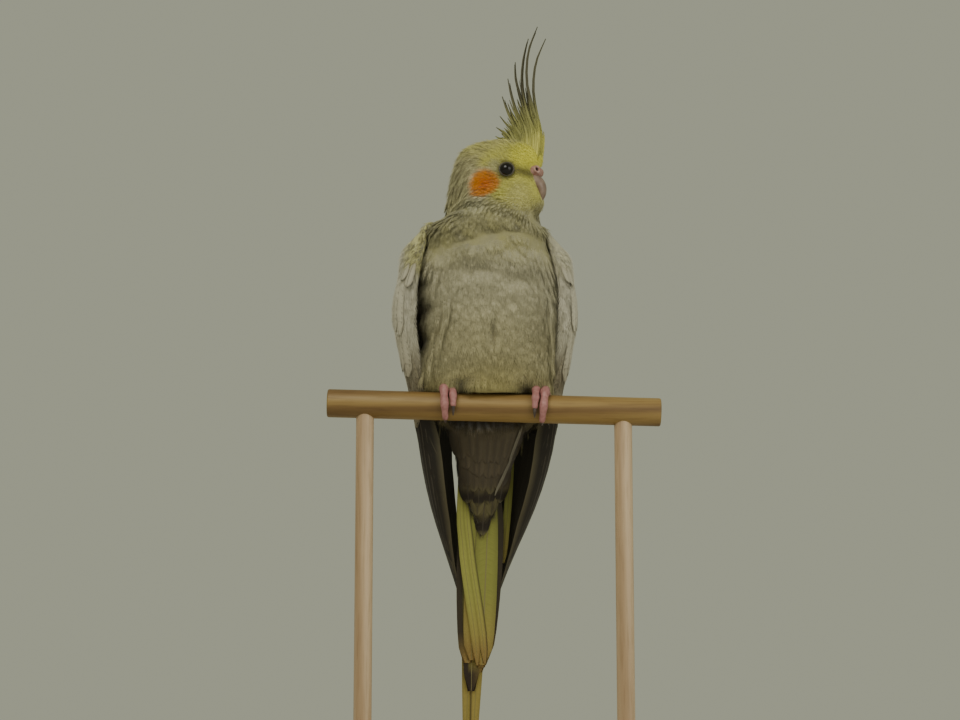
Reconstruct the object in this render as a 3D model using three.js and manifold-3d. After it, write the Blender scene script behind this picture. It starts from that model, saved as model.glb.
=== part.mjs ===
// A cockatiel, life size, gripping a cut length of dowel on a plain display stand.
// Units are millimetres and +Z is up. The bird faces -Y and the origin is the centre of the base's underside.
import * as THREE from "three";
import { mergeVertices } from "three/addons/utils/BufferGeometryUtils.js";
import Module from "manifold-3d";

// Driving dimensions
const GAP = 0.3; // between the faces of two pieces that touch
const SIMPLIFY = 0.1; // how far a surface may move when its needless points are left out
const BASE = { width: 150, depth: 132, height: 10, corner: 14, edge: 1.2 };
const ROD = { diameter: 8, spread: 58, sunk: 5, edge: 0.5 }; // spread is half the distance between the two rods
const PERCH = { diameter: 12.7, length: 150, height: 188, forward: 20, edge: 0.8, slant: 1.6 };
const BODY_TURN = 8; // degrees that the body is turned to the bird's left
const HEAD_TURN = 64; // degrees that the head is turned further, to the same side
const FOOT_SPREAD = 21; // half the distance between the feet

const radians = THREE.MathUtils.degToRad;
const mix = THREE.MathUtils.lerp;
const point = (x, y, z) => new THREE.Vector3(x, y, z);
const curve = (points) => new THREE.CatmullRomCurve3(points.map((p) => point(...p)), false, "centripetal");

const wasm = await Module();
wasm.setup();

// Solids from three.js geometry

// A closed geometry as a solid that can be joined and cut. A mirrored one has its faces turned round.
function solid(geometry) {
  const bare = geometry.clone();
  bare.deleteAttribute("normal");
  bare.deleteAttribute("uv");
  const merged = mergeVertices(bare, 1e-4);
  const vertProperties = merged.attributes.position.array;
  const triVerts = new Uint32Array(merged.index.array);
  const made = new wasm.Manifold(new wasm.Mesh({ numProp: 3, vertProperties, triVerts }));
  if (made.volume() > 0) return made;
  return new wasm.Manifold(new wasm.Mesh({ numProp: 3, vertProperties, triVerts: triVerts.reverse() }));
}

// The solid as a named mesh, as its largest closed surface only.
function mesh(name, made, material) {
  const largest = made.simplify(SIMPLIFY).decompose().sort((a, b) => b.volume() - a.volume())[0];
  const { vertProperties, triVerts } = largest.getMesh();
  const geometry = new THREE.BufferGeometry()
    .setAttribute("position", new THREE.BufferAttribute(vertProperties, 3))
    .setIndex(new THREE.BufferAttribute(triVerts, 1));
  geometry.computeVertexNormals();
  const placed = new THREE.Mesh(geometry, material);
  placed.name = name;
  return placed;
}

const joined = (solids) => solids.reduce((sum, one) => sum.add(one));
const moved = (made, matrix) => made.transform([...matrix.elements]);

// A closed body swept through sections: place(along, across, out) gives a point of the section at along,
// from 0 to 1, where across and out run round a unit circle. A higher roundness gives blunter ends.
function swept(sides, rows, roundness, place) {
  const ball = new THREE.SphereGeometry(1, sides, rows);
  const spot = ball.attributes.position;
  for (let i = 0; i < spot.count; i++) {
    const [x, y, z] = [spot.getX(i), spot.getY(i), spot.getZ(i)];
    const ring = Math.hypot(x, z);
    const closing = Math.max(0, 1 - Math.abs(y) ** roundness) ** (1 / roundness);
    const round = ring < 1e-6 ? 0 : closing / ring;
    spot.setXYZ(i, ...place((1 - y) / 2, x * round, z * round).toArray());
  }
  return solid(ball);
}

// A tube of oval section along a curve that lies in a plane. Its width runs along side and its depth in
// the plane. It grows by the same amount on every side and past both ends.
function tube({ path, side, wide, deep, sides = 10, rows = 10, roundness = 4, grow = 0 }) {
  return swept(sides, rows, roundness, (along, across, out) => {
    const tangent = path.getTangent(along);
    const depth = tangent.clone().cross(side).normalize();
    return path
      .getPoint(along)
      .addScaledVector(tangent, (2 * along - 1) * grow)
      .addScaledVector(side, across * (wide(along) + grow))
      .addScaledVector(depth, out * (deep(along) + grow));
  });
}

// A turned body about Z from [radius, height] pairs that start and end on the axis.
const turned = (outline, sides) =>
  solid(new THREE.LatheGeometry(outline.map((p) => new THREE.Vector2(...p)), sides));

// An egg of three radii about a centre.
const egg = (centre, radii, sides = 20, rows = 14) =>
  solid(new THREE.SphereGeometry(1, sides, rows).scale(...radii).translate(...centre));

// Steps a table of numbers smoothly: each row is [z, ...values], from low to high.
function table(rows) {
  return (z) => {
    let i = rows.findIndex((row) => row[0] > z);
    i = i < 0 ? rows.length - 1 : Math.max(i, 1);
    const share = THREE.MathUtils.clamp((z - rows[i - 1][0]) / (rows[i][0] - rows[i - 1][0]), 0, 1);
    const row = (k) => rows[THREE.MathUtils.clamp(k, 0, rows.length - 1)];
    return rows[i].slice(1).map((_, k) => {
      const [a, b, c, d] = [i - 2, i - 1, i, i + 1].map((n) => row(n)[k + 1]);
      const [t, tt] = [share, share * share];
      return b + 0.5 * t * (c - a) + tt * (a - 2.5 * b + 2 * c - 0.5 * d) + tt * t * 0.5 * (3 * b - 3 * c + d - a);
    });
  };
}

// A feather's vane: a thin blade with six points to a section, split into triangles alike on both faces.
// steps run from 0 at the root to 1 at the tip, across from -1 to 1, and out is 1 on the outer face and
// -1 on the inner one.
function vane(steps, place) {
  const spots = steps.flatMap((along) =>
    [1, -1].flatMap((out) => [-1, 0, 1].flatMap((across) => place(along, across, out).toArray())),
  );
  const faces = [];
  const quad = (a, b, c, d) => faces.push(a, b, c, a, c, d);
  const end = 6 * (steps.length - 1);
  for (let near = 0; near < end; near += 6) {
    const far = near + 6;
    for (const k of [0, 1]) {
      quad(near + k, near + k + 1, far + k + 1, far + k);
      quad(near + k + 3, far + k + 3, far + k + 4, near + k + 4);
    }
    quad(near, far, far + 3, near + 3);
    quad(near + 2, near + 5, far + 5, far + 2);
  }
  for (const k of [0, 1]) {
    quad(k, k + 3, k + 4, k + 1);
    quad(end + k, end + k + 1, end + k + 4, end + k + 3);
  }
  const blade = new THREE.BufferGeometry().setAttribute("position", new THREE.Float32BufferAttribute(spots, 3));
  return solid(blade.setIndex(faces));
}
const VANE = { thick: 0.6, long: [0, 0.3, 0.62, 0.88, 1], short: [0, 0.45, 0.84, 1] };
const blunt = table([[0, 0.5], [0.45, 0.95], [0.65, 1], [0.82, 0.88], [1, 0.35]]); // half width along it
const pointed = table([[0, 0.6], [0.3, 1], [0.6, 0.85], [0.86, 0.5], [1, 0.12]]);

// Frames: the bird is turned on the perch, and the perch slants a little with the feet on it
const perchCentre = point(0, -PERCH.forward, PERCH.height);
const bird = new THREE.Group();
bird.position.copy(perchCentre);
bird.rotation.z = radians(BODY_TURN);
const roost = new THREE.Group();
roost.position.copy(perchCentre);
roost.rotation.y = radians(PERCH.slant);
const stand = new THREE.Group();
[bird, roost, stand].forEach((group) => group.updateMatrix());
const birdToRoost = roost.matrix.clone().invert().multiply(bird.matrix);
const roostToBird = birdToRoost.clone().invert();
const standToRoost = roost.matrix.clone().invert();

// Torso and neck: level sections as [height over the perch, sideways, back, half width, depth in front,
// depth behind, turn to the bird's left in degrees]
const SECTIONS = [
  [-49, 1.2, 43, 4.5, 3.5, 4, 0],
  [-38, 0.2, 38.5, 9.2, 6.5, 7.5, 0],
  [-26, -0.9, 33, 13, 10, 11, 0],
  [-15, -0.5, 27.5, 15.8, 13, 14.5, 0],
  [-8, 0, 24, 18.5, 16, 16.5, 0],
  [-2, 0.2, 20, 24, 19, 18.5, 0],
  [8, 0.2, 14.5, 30, 24, 18, 0],
  [25, -1, 8, 30.8, 28, 20.5, 0],
  [45, -1.4, 0.5, 30.8, 28.5, 22.5, 0],
  [62, -2.2, -5, 29.6, 27, 23, 2],
  [75, -2.4, -9, 26.8, 23.5, 22.5, 10],
  [86, -2, -11.5, 23, 23, 24, 36],
  [95, -1, -13, 17.8, 21.5, 25, 58],
  [104, -0.3, -14, 13.5, 18.5, 21, 64],
  [112, 0, -14, 7, 11, 12, 64],
];
// The back's middle lies to the bird's right, and the back is narrower than the breast.
const BACK = { shift: -3.2, taper: 7 };
const section = table(SECTIONS);
const FLESH = { low: SECTIONS[0][0] - 2, high: SECTIONS.at(-1)[0] };

function bodyCore(grow = 0) {
  return swept(22, 22, 5, (along, across, out) => {
    const z = mix(FLESH.high, FLESH.low, along);
    const [x, y, wide, front, back, turn] = section(z);
    const ring = Math.hypot(across, out);
    const bearing = Math.atan2(out, across);
    const [side, ahead] = [Math.cos(bearing - radians(turn)), Math.sin(bearing - radians(turn))];
    const rear = Math.max(ahead, 0) * (wide / 30);
    const reach = 1 / Math.hypot(side / (wide - BACK.taper * rear), ahead / (ahead > 0 ? back : front)) + grow;
    const aside = BACK.shift * rear ** 2 + reach * Math.cos(bearing);
    return point(x + ring * aside, y + ring * reach * Math.sin(bearing), z);
  });
}

// Head: an egg with soft swellings and hollows, in a frame that looks along -Y from the skull's middle
const HEAD = { centre: [0, -14, 104], half: [14.8, 21, 16.8] };
const EYE = { radius: 3.3, at: [11.8, -6.8, 0] };
const LIDS = { radius: 3.1, thick: 1.3, at: [13.3, -7.2, 0], turn: -17 };
const LOBES = [
  { at: [0, -18, 7], out: 1.2, spread: 7 }, // forehead over the cere
  { at: [8, -16, -9], out: 1.8, spread: 7 }, // cheek feathers beside the bill
  { at: [-8, -16, -9], out: 1.8, spread: 7 },
  { at: [0, -14, -17], out: 3.4, spread: 6.5 }, // chin
  { at: [0, -21, -8], out: -2.2, spread: 5 }, // hollow that the bill comes out of
  { at: [14, -7, 0], out: -1, spread: 4.5 }, // eye sockets
  { at: [-14, -7, 0], out: -1, spread: 4.5 },
  { at: [0, 20, -8], out: 3.2, spread: 10 }, // nape
];
const SQUARENESS = 2.6; // of the head seen from the side, where 2 is an ellipse
const headPose = new THREE.Matrix4().makeRotationZ(radians(HEAD_TURN)).setPosition(...HEAD.centre);

function headCore() {
  const ball = new THREE.SphereGeometry(1, 22, 15);
  const spot = ball.attributes.position;
  for (let i = 0; i < spot.count; i++) {
    const p = point(spot.getX(i), spot.getY(i), spot.getZ(i));
    const profile = Math.hypot(p.y, p.z);
    const square = (Math.abs(p.y) ** SQUARENESS + Math.abs(p.z) ** SQUARENESS) ** (1 / SQUARENESS);
    p.multiplyScalar(profile > 0.01 ? mix(1, profile / square, profile) : 1).multiply(point(...HEAD.half));
    const away = p.clone().normalize();
    for (const lobe of LOBES) {
      const near = p.distanceTo(point(...lobe.at)) / lobe.spread;
      p.addScaledVector(away, lobe.out * Math.exp(-near * near));
    }
    spot.setXYZ(i, p.x, p.y, p.z);
  }
  return moved(solid(ball), headPose);
}

// Bill: the upper mandible hooks over the lower, and both are set in the face under the cere
const UPPER_BILL = { path: [[0, -10, -5.5], [0, -15.8, -4], [0, -19.2, -6], [0, -20.6, -9.8], [0, -20, -14]] };
const LOWER_BILL = { path: [[0, -9, -9.5], [0, -13.5, -12], [0, -17.6, -13], [0, -19.6, -11.6]] };
const CERE = { centre: [0, -16, 0.2], half: [5.2, 4.4, 3.6] };
const NOSTRIL = { at: [3.1, -19, 0.6], radius: 0.75, rim: 1.7 };
const fade = (from, to, power) => (along) => mix(from, to, along ** power);

function upperBill(grow = 0) {
  return moved(
    tube({
      path: curve(UPPER_BILL.path),
      side: point(1, 0, 0),
      wide: fade(4.9, 0.5, 2.2),
      deep: fade(4.6, 0.5, 1.4),
      rows: 11,
      roundness: 5,
      grow,
    }),
    headPose,
  );
}

function lowerBill(grow = 0) {
  return moved(
    tube({
      path: curve(LOWER_BILL.path),
      side: point(1, 0, 0),
      wide: fade(4.4, 1.8, 2),
      deep: fade(3.2, 0.6, 1.5),
      rows: 8,
      grow,
    }),
    headPose,
  );
}

const nostril = (side, radius, depth) =>
  egg([side * NOSTRIL.at[0], NOSTRIL.at[1], NOSTRIL.at[2]], [radius, depth, radius], 7, 5);

function cere(grow = 0) {
  const band = egg(CERE.centre, CERE.half.map((r) => r + grow), 12, 7);
  const rims = [-1, 1].map((side) => nostril(side, NOSTRIL.rim + grow, NOSTRIL.rim + grow));
  return moved(joined([band, ...rims]), headPose);
}
const nostrilHoles = () => moved(joined([-1, 1].map((side) => nostril(side, NOSTRIL.radius, 2.4))), headPose);

const eye = (side, grow = 0) =>
  moved(egg([side * EYE.at[0], EYE.at[1], EYE.at[2]], Array(3).fill(EYE.radius + grow), 10, 8), headPose);

// The bare ring of skin round the eye, raised as the two lids.
const lids = (side) =>
  moved(
    solid(
      new THREE.TorusGeometry(LIDS.radius, LIDS.thick / 2, 5, 12)
        .rotateY(Math.PI / 2)
        .rotateZ(side * radians(LIDS.turn))
        .translate(side * LIDS.at[0], LIDS.at[1], LIDS.at[2]),
    ),
    headPose,
  );

// Crest: a row of narrow feathers from the forehead to the crown, the front ones long and curling
// forward at the tip front and back are places before the skull's middle, and twist is in degrees, every
// other feather the other way.
const CREST = { count: 12, front: 20, back: 3, half: 1.9, fan: 3.2, twist: 38 };
const crestLength = table([[2, 12], [5, 14], [7.5, 19], [9.5, 27], [11.5, 36], [13.5, 47], [16, 54], [20, 61]]);

function crestFeather(i) {
  const share = i / (CREST.count - 1); // 0 at the front
  const ahead = mix(CREST.front, CREST.back, share);
  const length = crestLength(ahead)[0];
  const aside = ((i * 2) % 5) / 2 - 1;
  const lean = mix(-20, -52, share ** 2); // degrees from upright, forward counted as more than 0
  const curl = mix(22, -34, share);
  const spine = [point(aside * CREST.fan, -ahead, mix(7, 10, share))];
  for (let step = 0; step < 5; step++) {
    const tilt = radians(mix(lean, curl, step / 4));
    const next = point(-aside * 0.05 * length * (step / 4), -Math.sin(tilt) * length, Math.cos(tilt) * length);
    spine.push(spine.at(-1).clone().addScaledVector(next, 1 / 5));
  }
  const path = new THREE.CatmullRomCurve3(spine);
  const twist = radians(i % 2 ? CREST.twist : -CREST.twist);
  const wide = point(Math.cos(twist), Math.sin(twist), 0);
  return vane(length > 16 ? VANE.long : VANE.short, (along, across, out) => {
    const deep = path.getTangent(along).cross(wide).normalize();
    return path
      .getPoint(along)
      .addScaledVector(wide, across * CREST.half * pointed(along)[0])
      .addScaledVector(deep, (out * VANE.thick) / 2);
  });
}
const crest = () => moved(joined(Array.from({ length: CREST.count }, (_, i) => crestFeather(i))), headPose);

// Wing: three guide curves from the shoulder to the tip, of the leading edge, the outer face and the
// trailing edge
const WING = {
  leading: curve([
    [26, -17, 74],
    [33.5, -22, 57],
    [34.5, -18, 40],
    [32.5, -5, 19],
    [28.5, 12, 1],
    [24.5, 21, -23],
    [19.5, 35, -46],
    [13.5, 51, -69],
    [6.5, 61, -91],
  ]),
  outer: curve([
    [30, -5, 79],
    [37.5, -4, 61],
    [40, 0, 45],
    [37, 8, 24],
    [32.5, 17, 4],
    [28, 28, -18],
    [21.8, 40.5, -42],
    [14, 54, -65],
    [6.5, 62.5, -90],
  ]),
  trailing: curve([
    [15, 9, 84],
    [11, 19, 66],
    [8, 26, 50],
    [8, 32, 30],
    [10.5, 38, 9],
    [12.6, 43, -13],
    [10.8, 50, -37],
    [8.2, 58, -62],
    [6, 63, -90],
  ]),
  lean: table([[-90, 1.2], [-50, 0.3], [-10, -0.6], [20, -3.4], [45, -5], [85, -4.6]]), // sideways, by height
  narrowest: 4, // mm to a unit across it, near the tip
};
const wingDepth = table([[0, 3.5], [0.2, 7], [0.5, 6.5], [0.75, 4], [1, 1.2]]); // of the core, by its own length
const CORE_END = 0.58; // how far down the wing its core reaches, with the primaries' roots in it

// The wing's outer face: s runs along it and q across it, from -1 at the leading edge to 1.
function wingFace(s, q) {
  const at = (guide) => WING[guide].getPoint(THREE.MathUtils.clamp(s, 0, 1));
  return at("leading")
    .multiplyScalar((q * q - q) / 2)
    .addScaledVector(at("outer"), 1 - q * q)
    .addScaledVector(at("trailing"), (q * q + q) / 2);
}
const wingStretch = (s, q) => wingFace(s, q + 0.05).distanceTo(wingFace(s, q - 0.05)) / 0.1; // mm to a unit of q

// A point at a height over the outer face of the wing on one side.
function wingPoint(side, s, q, height) {
  const step = 0.02;
  const down = wingFace(s + step, q).sub(wingFace(s - step, q));
  const back = wingFace(s, q + step).sub(wingFace(s, q - step));
  const p = wingFace(s, q).addScaledVector(down.cross(back).normalize(), height);
  return point(side * p.x + WING.lean(p.z)[0], p.y, p.z);
}

function wingCore(side) {
  return swept(12, 9, 4, (along, across, out) => {
    const deep = wingDepth(along)[0] / 2;
    return wingPoint(side, mix(0.01, CORE_END, along), across * 0.97, -deep + out * deep);
  });
}

// Tiers of feathers. roots and tips are places along the wing, and from and to are places across it at
// the root and at the tip, each for the feather nearest the leading edge and for the last one. lift is
// the tip's height over the wing's face, and rise is how much higher each feather lies than the one
// before it.
const PRIMARIES = {
  count: 7, roots: [0.44, 0.42], tips: [1, 0.7],
  from: [-0.9, 0.7], to: [-0.72, 0.55], half: 5, lift: -3.2, rise: 0.6,
};
const SECONDARIES = {
  count: 5, roots: [0.34, 0.3], tips: [0.54, 0.6],
  from: [-0.8, 0.5], to: [-0.55, 0.45], half: 5.8, lift: 0.3, rise: 0,
};
const TERTIALS = {
  count: 3, roots: [0.24, 0.24], tips: [0.5, 0.6],
  from: [0.6, 0.9], to: [0.45, 0.8], half: 6, lift: 0.3, rise: 0.65,
};
const GREATER_COVERTS = {
  count: 5, roots: [0.22, 0.18], tips: [0.41, 0.37],
  from: [-0.82, 0.8], to: [-0.82, 0.78], half: 6, lift: 0.6, rise: 0,
};
const MEDIAN_COVERTS = {
  count: 4, roots: [0.1, 0.08], tips: [0.25, 0.22],
  from: [-0.76, 0.76], to: [-0.78, 0.76], half: 6.4, lift: 0.6, rise: 0,
};
const TIERS = [PRIMARIES, SECONDARIES, TERTIALS, GREATER_COVERTS, MEDIAN_COVERTS];
// The roots' height, and how far each feather tilts to overlap the next.
const SHINGLE = { root: -1.4, tilt: 0.5 };

function wingFeather(side, tier, i) {
  const share = i / (tier.count - 1);
  const [root, tip] = [mix(...tier.roots, share), mix(...tier.tips, share)];
  const [shape, steps, tilt] = tier === PRIMARIES ? [pointed, VANE.long, 0] : [blunt, VANE.short, SHINGLE.tilt];
  return vane(steps, (along, across, out) => {
    const s = mix(root, tip, along);
    const q = mix(mix(...tier.from, share), mix(...tier.to, share), along);
    const aside = (across * tier.half * shape(along)[0]) / Math.max(wingStretch(s, q), WING.narrowest);
    const height = mix(SHINGLE.root, tier.lift + tier.rise * i, along ** 0.7) - across * tilt;
    return wingPoint(side, s, q + aside, height + (out * VANE.thick) / 2);
  });
}
const wingFeathers = (side) =>
  joined(TIERS.flatMap((tier) => Array.from({ length: tier.count }, (_, i) => wingFeather(side, tier, i))));

// Tail: six pairs of feathers in layers, the longest pair in the middle and at the back
const TAIL = {
  root: [0.2, 36, -22],
  tip: [1.2, 80, -168],
  layer: 0.32, // between two feathers that lie on each other
  core: 0.14, // as a share of the length, like the slot's
  coreHalf: [9.5, 1.9],
  slot: [26, 0.34, 5],
};
const TAIL_PAIRS = [
  { tip: 1, half: 2.5, aside: [1.4, 2.1, 2] },
  { tip: 0.67, half: 4.6, aside: [2, 3.2, 1.4] },
  { tip: 0.635, half: 4.9, aside: [3, 4.2, 2.2] },
  { tip: 0.6, half: 5.1, aside: [4, 5.2, 3.4] },
  { tip: 0.56, half: 5.1, aside: [5, 6.2, 4.6] },
  { tip: 0.52, half: 5, aside: [6, 7, 5.4] },
];

// The tail's frame: X aside, Y down its length and Z towards its back.
const tailLine = point(...TAIL.tip).sub(point(...TAIL.root));
const tailLength = tailLine.length();
const tailDown = tailLine.clone().normalize();
const tailBack = point(1, 0, 0).cross(tailDown).normalize();
const tailPose = new THREE.Matrix4()
  .makeBasis(tailDown.clone().cross(tailBack), tailDown, tailBack)
  .setPosition(...TAIL.root);
const tailPoint = (x, along, height) => point(x, along * tailLength, height).applyMatrix4(tailPose);

// The root that the feathers are set in.
const tailCore = () =>
  swept(10, 6, 5, (along, across, out) =>
    tailPoint(across * TAIL.coreHalf[0], mix(0, TAIL.core, along), out * TAIL.coreHalf[1]),
  );

// The slot in the body that the whole tail needs.
function tailRoom() {
  const [width, share, depth] = TAIL.slot;
  const box = new THREE.BoxGeometry(width, share * tailLength, depth);
  return moved(solid(box.translate(0, (share / 2 - 0.01) * tailLength, 0)), tailPose);
}

// A feather of a pair, on one side. Every feather has a layer of its own.
function tailFeather(side, pair) {
  const { tip, half, aside } = TAIL_PAIRS[pair];
  const layers = TAIL_PAIRS.length - 0.5 - 2 * pair - (side > 0 ? 1 : 0);
  const height = layers * TAIL.layer;
  const middle = table([[0, aside[0]], [0.3, aside[1]], [1, aside[2]]]);
  return vane(VANE.long, (along, across, out) =>
    tailPoint(
      side * middle(along)[0] + across * half * (pair ? blunt : pointed)(along)[0],
      mix(0.03, tip, along),
      height + (out * VANE.thick) / 2,
    ),
  );
}
const tailFeathers = () => joined(TAIL_PAIRS.flatMap((_, pair) => [-1, 1].map((side) => tailFeather(side, pair))));

// Legs and feet, in the perch's frame: two toes in front and two behind grip the dowel
const THIGH = { at: [FOOT_SPREAD - 2, 6.5, 18], half: [6.4, 8, 7.6] };
const SHANK = { top: [FOOT_SPREAD, 9, 17], foot: [FOOT_SPREAD, 0.5, 8.9], radius: 2.1 };
const TOES = [
  { name: "outer_front", x: [23.2, 21.4], from: -14, to: 142, wide: [1.95, 1.4] },
  { name: "inner_front", x: [19.0, 18.6], from: -10, to: 98, wide: [1.75, 1.3] },
  { name: "outer_back", x: [23.0, 24.6], from: 14, to: -118, wide: [1.9, 1.4] },
  { name: "inner_back", x: [19.2, 17.6], from: 8, to: -80, wide: [1.6, 1.25] },
];
// The claw's length is in degrees round the perch.
const CLAW = { length: 38, radius: [1.15, 0.25], height: [0.35, 0.9] };
const FOOT_ROOM = { half: 6.4, edge: 1 };

// A point at an angle from the perch's top towards the front, at a height over the dowel.
const overPerch = (x, degrees, height) => {
  const reach = PERCH.diameter / 2 + height;
  return point(x, -reach * Math.sin(radians(degrees)), reach * Math.cos(radians(degrees)));
};
// A toe swells at its joints and pads.
const pads = (along) => 1 + 0.1 * Math.cos(along * Math.PI * 6);

function toe(side, { x, from, to, wide }, grow = 0) {
  const past = (grow * Math.sign(to) * 180) / (Math.PI * PERCH.diameter / 2);
  return swept(7, 10, 5, (along, across, out) => {
    const radius = mix(...wide, along) * pads(along);
    const height = GAP + radius + out * (radius + grow);
    return overPerch(side * mix(...x, along) + across * (radius + grow), mix(from - past, to + past, along), height);
  });
}

function claw(side, { x, to, wide }) {
  const turn = Math.sign(to);
  const start = to - turn * 5;
  return swept(6, 5, 5, (along, across, out) => {
    const radius = mix(...CLAW.radius, along);
    const height = GAP + mix(wide[1] + CLAW.height[0], CLAW.height[1], along ** 0.7) + out * radius;
    return overPerch(side * x[1] + across * radius * 0.85, start + turn * CLAW.length * along, height);
  });
}

const shank = (side, grow = 0) => {
  const path = curve([SHANK.top, SHANK.foot].map(([x, y, z]) => [side * x, y, z]));
  const radius = () => SHANK.radius;
  return tube({ path, side: point(1, 0, 0), wide: radius, deep: radius, sides: 8, rows: 6, grow });
};
const thigh = (side, grow = 0) =>
  egg([side * THIGH.at[0], THIGH.at[1], THIGH.at[2]], THIGH.half.map((r) => r + grow), 12, 9);

// The room round the perch that a clenched foot takes, as a short thick disc.
const footRoom = (side) => {
  const reach = PERCH.diameter / 2 + GAP + 2 * TOES[0].wide[0] + GAP;
  const lying = new THREE.Matrix4().makeRotationZ(Math.PI / 2).setPosition(side * FOOT_SPREAD, 0, 0);
  return moved(dowel(reach, FOOT_ROOM.half, FOOT_ROOM.edge, 20), lying);
};

// Perch and stand, of dowels with chamfered ends
function dowel(radius, half, edge, sides) {
  const end = [[radius, half - edge], [radius - edge, half], [0, half]];
  const start = end.map(([r, z]) => [r, -z]).reverse();
  return turned([...start, ...end], sides);
}
const perchBar = (grow = 0) =>
  moved(
    dowel(PERCH.diameter / 2 + grow, PERCH.length / 2 + grow, PERCH.edge, 20),
    new THREE.Matrix4().makeRotationZ(Math.PI / 2),
  );

function rod(side, grow = 0) {
  const low = BASE.height - ROD.sunk;
  const high = PERCH.height - PERCH.diameter / 2 + ROD.sunk - side * ROD.spread * Math.tan(radians(PERCH.slant));
  const middle = [side * ROD.spread, -PERCH.forward, (low + high) / 2];
  const upright = new THREE.Matrix4().makeRotationX(Math.PI / 2).setPosition(...middle);
  return moved(dowel(ROD.diameter / 2 + grow, (high - low) / 2 + grow, ROD.edge, 16), upright);
}

function baseBlock() {
  const [w, d, r] = [BASE.width / 2 - BASE.edge, BASE.depth / 2 - BASE.edge, BASE.corner];
  const outline = new THREE.Shape();
  outline.moveTo(-w + r, -d).lineTo(w - r, -d);
  outline.absarc(w - r, r - d, r, -Math.PI / 2, 0);
  outline.absarc(w - r, d - r, r, 0, Math.PI / 2);
  outline.absarc(r - w, d - r, r, Math.PI / 2, Math.PI);
  outline.absarc(r - w, r - d, r, Math.PI, 1.5 * Math.PI);
  const block = new THREE.ExtrudeGeometry(outline, {
    depth: BASE.height - 2 * BASE.edge,
    bevelThickness: BASE.edge,
    bevelSize: BASE.edge,
    bevelSegments: 1,
    curveSegments: 4,
  });
  return solid(block.translate(0, 0, BASE.edge));
}

// Materials
const paint = (color, roughness, metalness = 0) => new THREE.MeshStandardMaterial({ color, roughness, metalness });
const BREAST = paint(0x9a9384, 0.9);
const FACE = paint(0xd8cf6a, 0.9);
const WING_GREY = paint(0xb9b4a8, 0.85);
const TAIL_YELLOW = paint(0xb5ab4e, 0.8);
const HORN = paint(0xa98a80, 0.5);
const CERE_PINK = paint(0xc9a49a, 0.6);
const EYE_BLACK = paint(0x0c0a09, 0.08);
const FOOT_PINK = paint(0xc98b86, 0.65);
const CLAW_GREY = paint(0x4a3f3c, 0.45);
const DOWEL_WOOD = paint(0xb08a4e, 0.6);
const STAND_WOOD = paint(0xc9a97a, 0.55);

// Assembly: the flesh is joined whole and parted by thin level cuts, at the neck's foot and under the
// head
const CUTS = { neck: 73, head: 83 };
function slab(low, high) {
  return solid(new THREE.BoxGeometry(160, 220, high - low).translate(0, 0, (low + high) / 2));
}
const flesh = joined([bodyCore(), headCore()]);
const perchInBird = moved(perchBar(GAP), roostToBird);
const legRoom = joined(
  [-1, 1].map((side) => moved(joined([thigh(side, GAP), shank(side, GAP), footRoom(side)]), roostToBird)),
);

const torso = flesh
  .intersect(slab(-150, CUTS.neck - GAP / 2))
  .subtract(tailRoom())
  .subtract(perchInBird)
  .subtract(legRoom);
const neck = flesh.intersect(slab(CUTS.neck + GAP / 2, CUTS.head - GAP / 2));
const eyes = joined([eye(-1, GAP), eye(1, GAP)]);
const head = joined([flesh.intersect(slab(CUTS.head + GAP / 2, 200)), lids(-1), lids(1), crest()])
  .subtract(eyes)
  .subtract(cere(GAP))
  .subtract(upperBill(GAP))
  .subtract(lowerBill(GAP));
const wingRoom = joined([bodyCore(GAP), tailRoom(), perchInBird, legRoom]);

bird.add(
  mesh("torso", torso, BREAST),
  mesh("neck", neck, BREAST),
  mesh("head", head, FACE),
  mesh("cere", cere().subtract(nostrilHoles()), CERE_PINK),
  mesh("bill_upper", upperBill().subtract(cere(GAP)), HORN),
  mesh("bill_lower", lowerBill().subtract(upperBill(GAP)), HORN),
  mesh("tail", tailCore().add(tailFeathers()), TAIL_YELLOW),
);
for (const [label, side] of [["right", -1], ["left", 1]]) {
  bird.add(
    mesh("eye_" + label, eye(side), EYE_BLACK),
    mesh("wing_" + label, wingCore(side).add(wingFeathers(side)).subtract(wingRoom), WING_GREY),
  );
  const claws = TOES.map((one) =>
    mesh(`claw_${label}_${one.name}`, claw(side, one).subtract(toe(side, one, GAP)), CLAW_GREY),
  );
  const foot = joined([shank(side), ...TOES.map((one) => toe(side, one))]);
  const thighSolid = thigh(side).subtract(footRoom(side)).subtract(perchBar(GAP));
  roost.add(
    mesh("thigh_" + label, thighSolid, BREAST),
    mesh("foot_" + label, foot.subtract(thigh(side, GAP)), FOOT_PINK),
    ...claws,
  );
}
const rods = joined([rod(-1, GAP), rod(1, GAP)]);
roost.add(mesh("perch", perchBar().subtract(moved(rods, standToRoost)), DOWEL_WOOD));
stand.add(
  mesh("stand_base", baseBlock().subtract(rods), STAND_WOOD),
  mesh("stand_rod_right", rod(-1), STAND_WOOD),
  mesh("stand_rod_left", rod(1), STAND_WOOD),
);

const cockatiel = new THREE.Group();
cockatiel.add(bird, roost, stand);
export default cockatiel;
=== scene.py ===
"""A life-size cockatiel gripping a cut length of dowel on a plain wooden display stand."""

import math

import bmesh
import bpy
import numpy as np
from mathutils import Matrix, Vector
from mathutils.bvhtree import BVHTree
from mathutils.kdtree import KDTree


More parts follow.
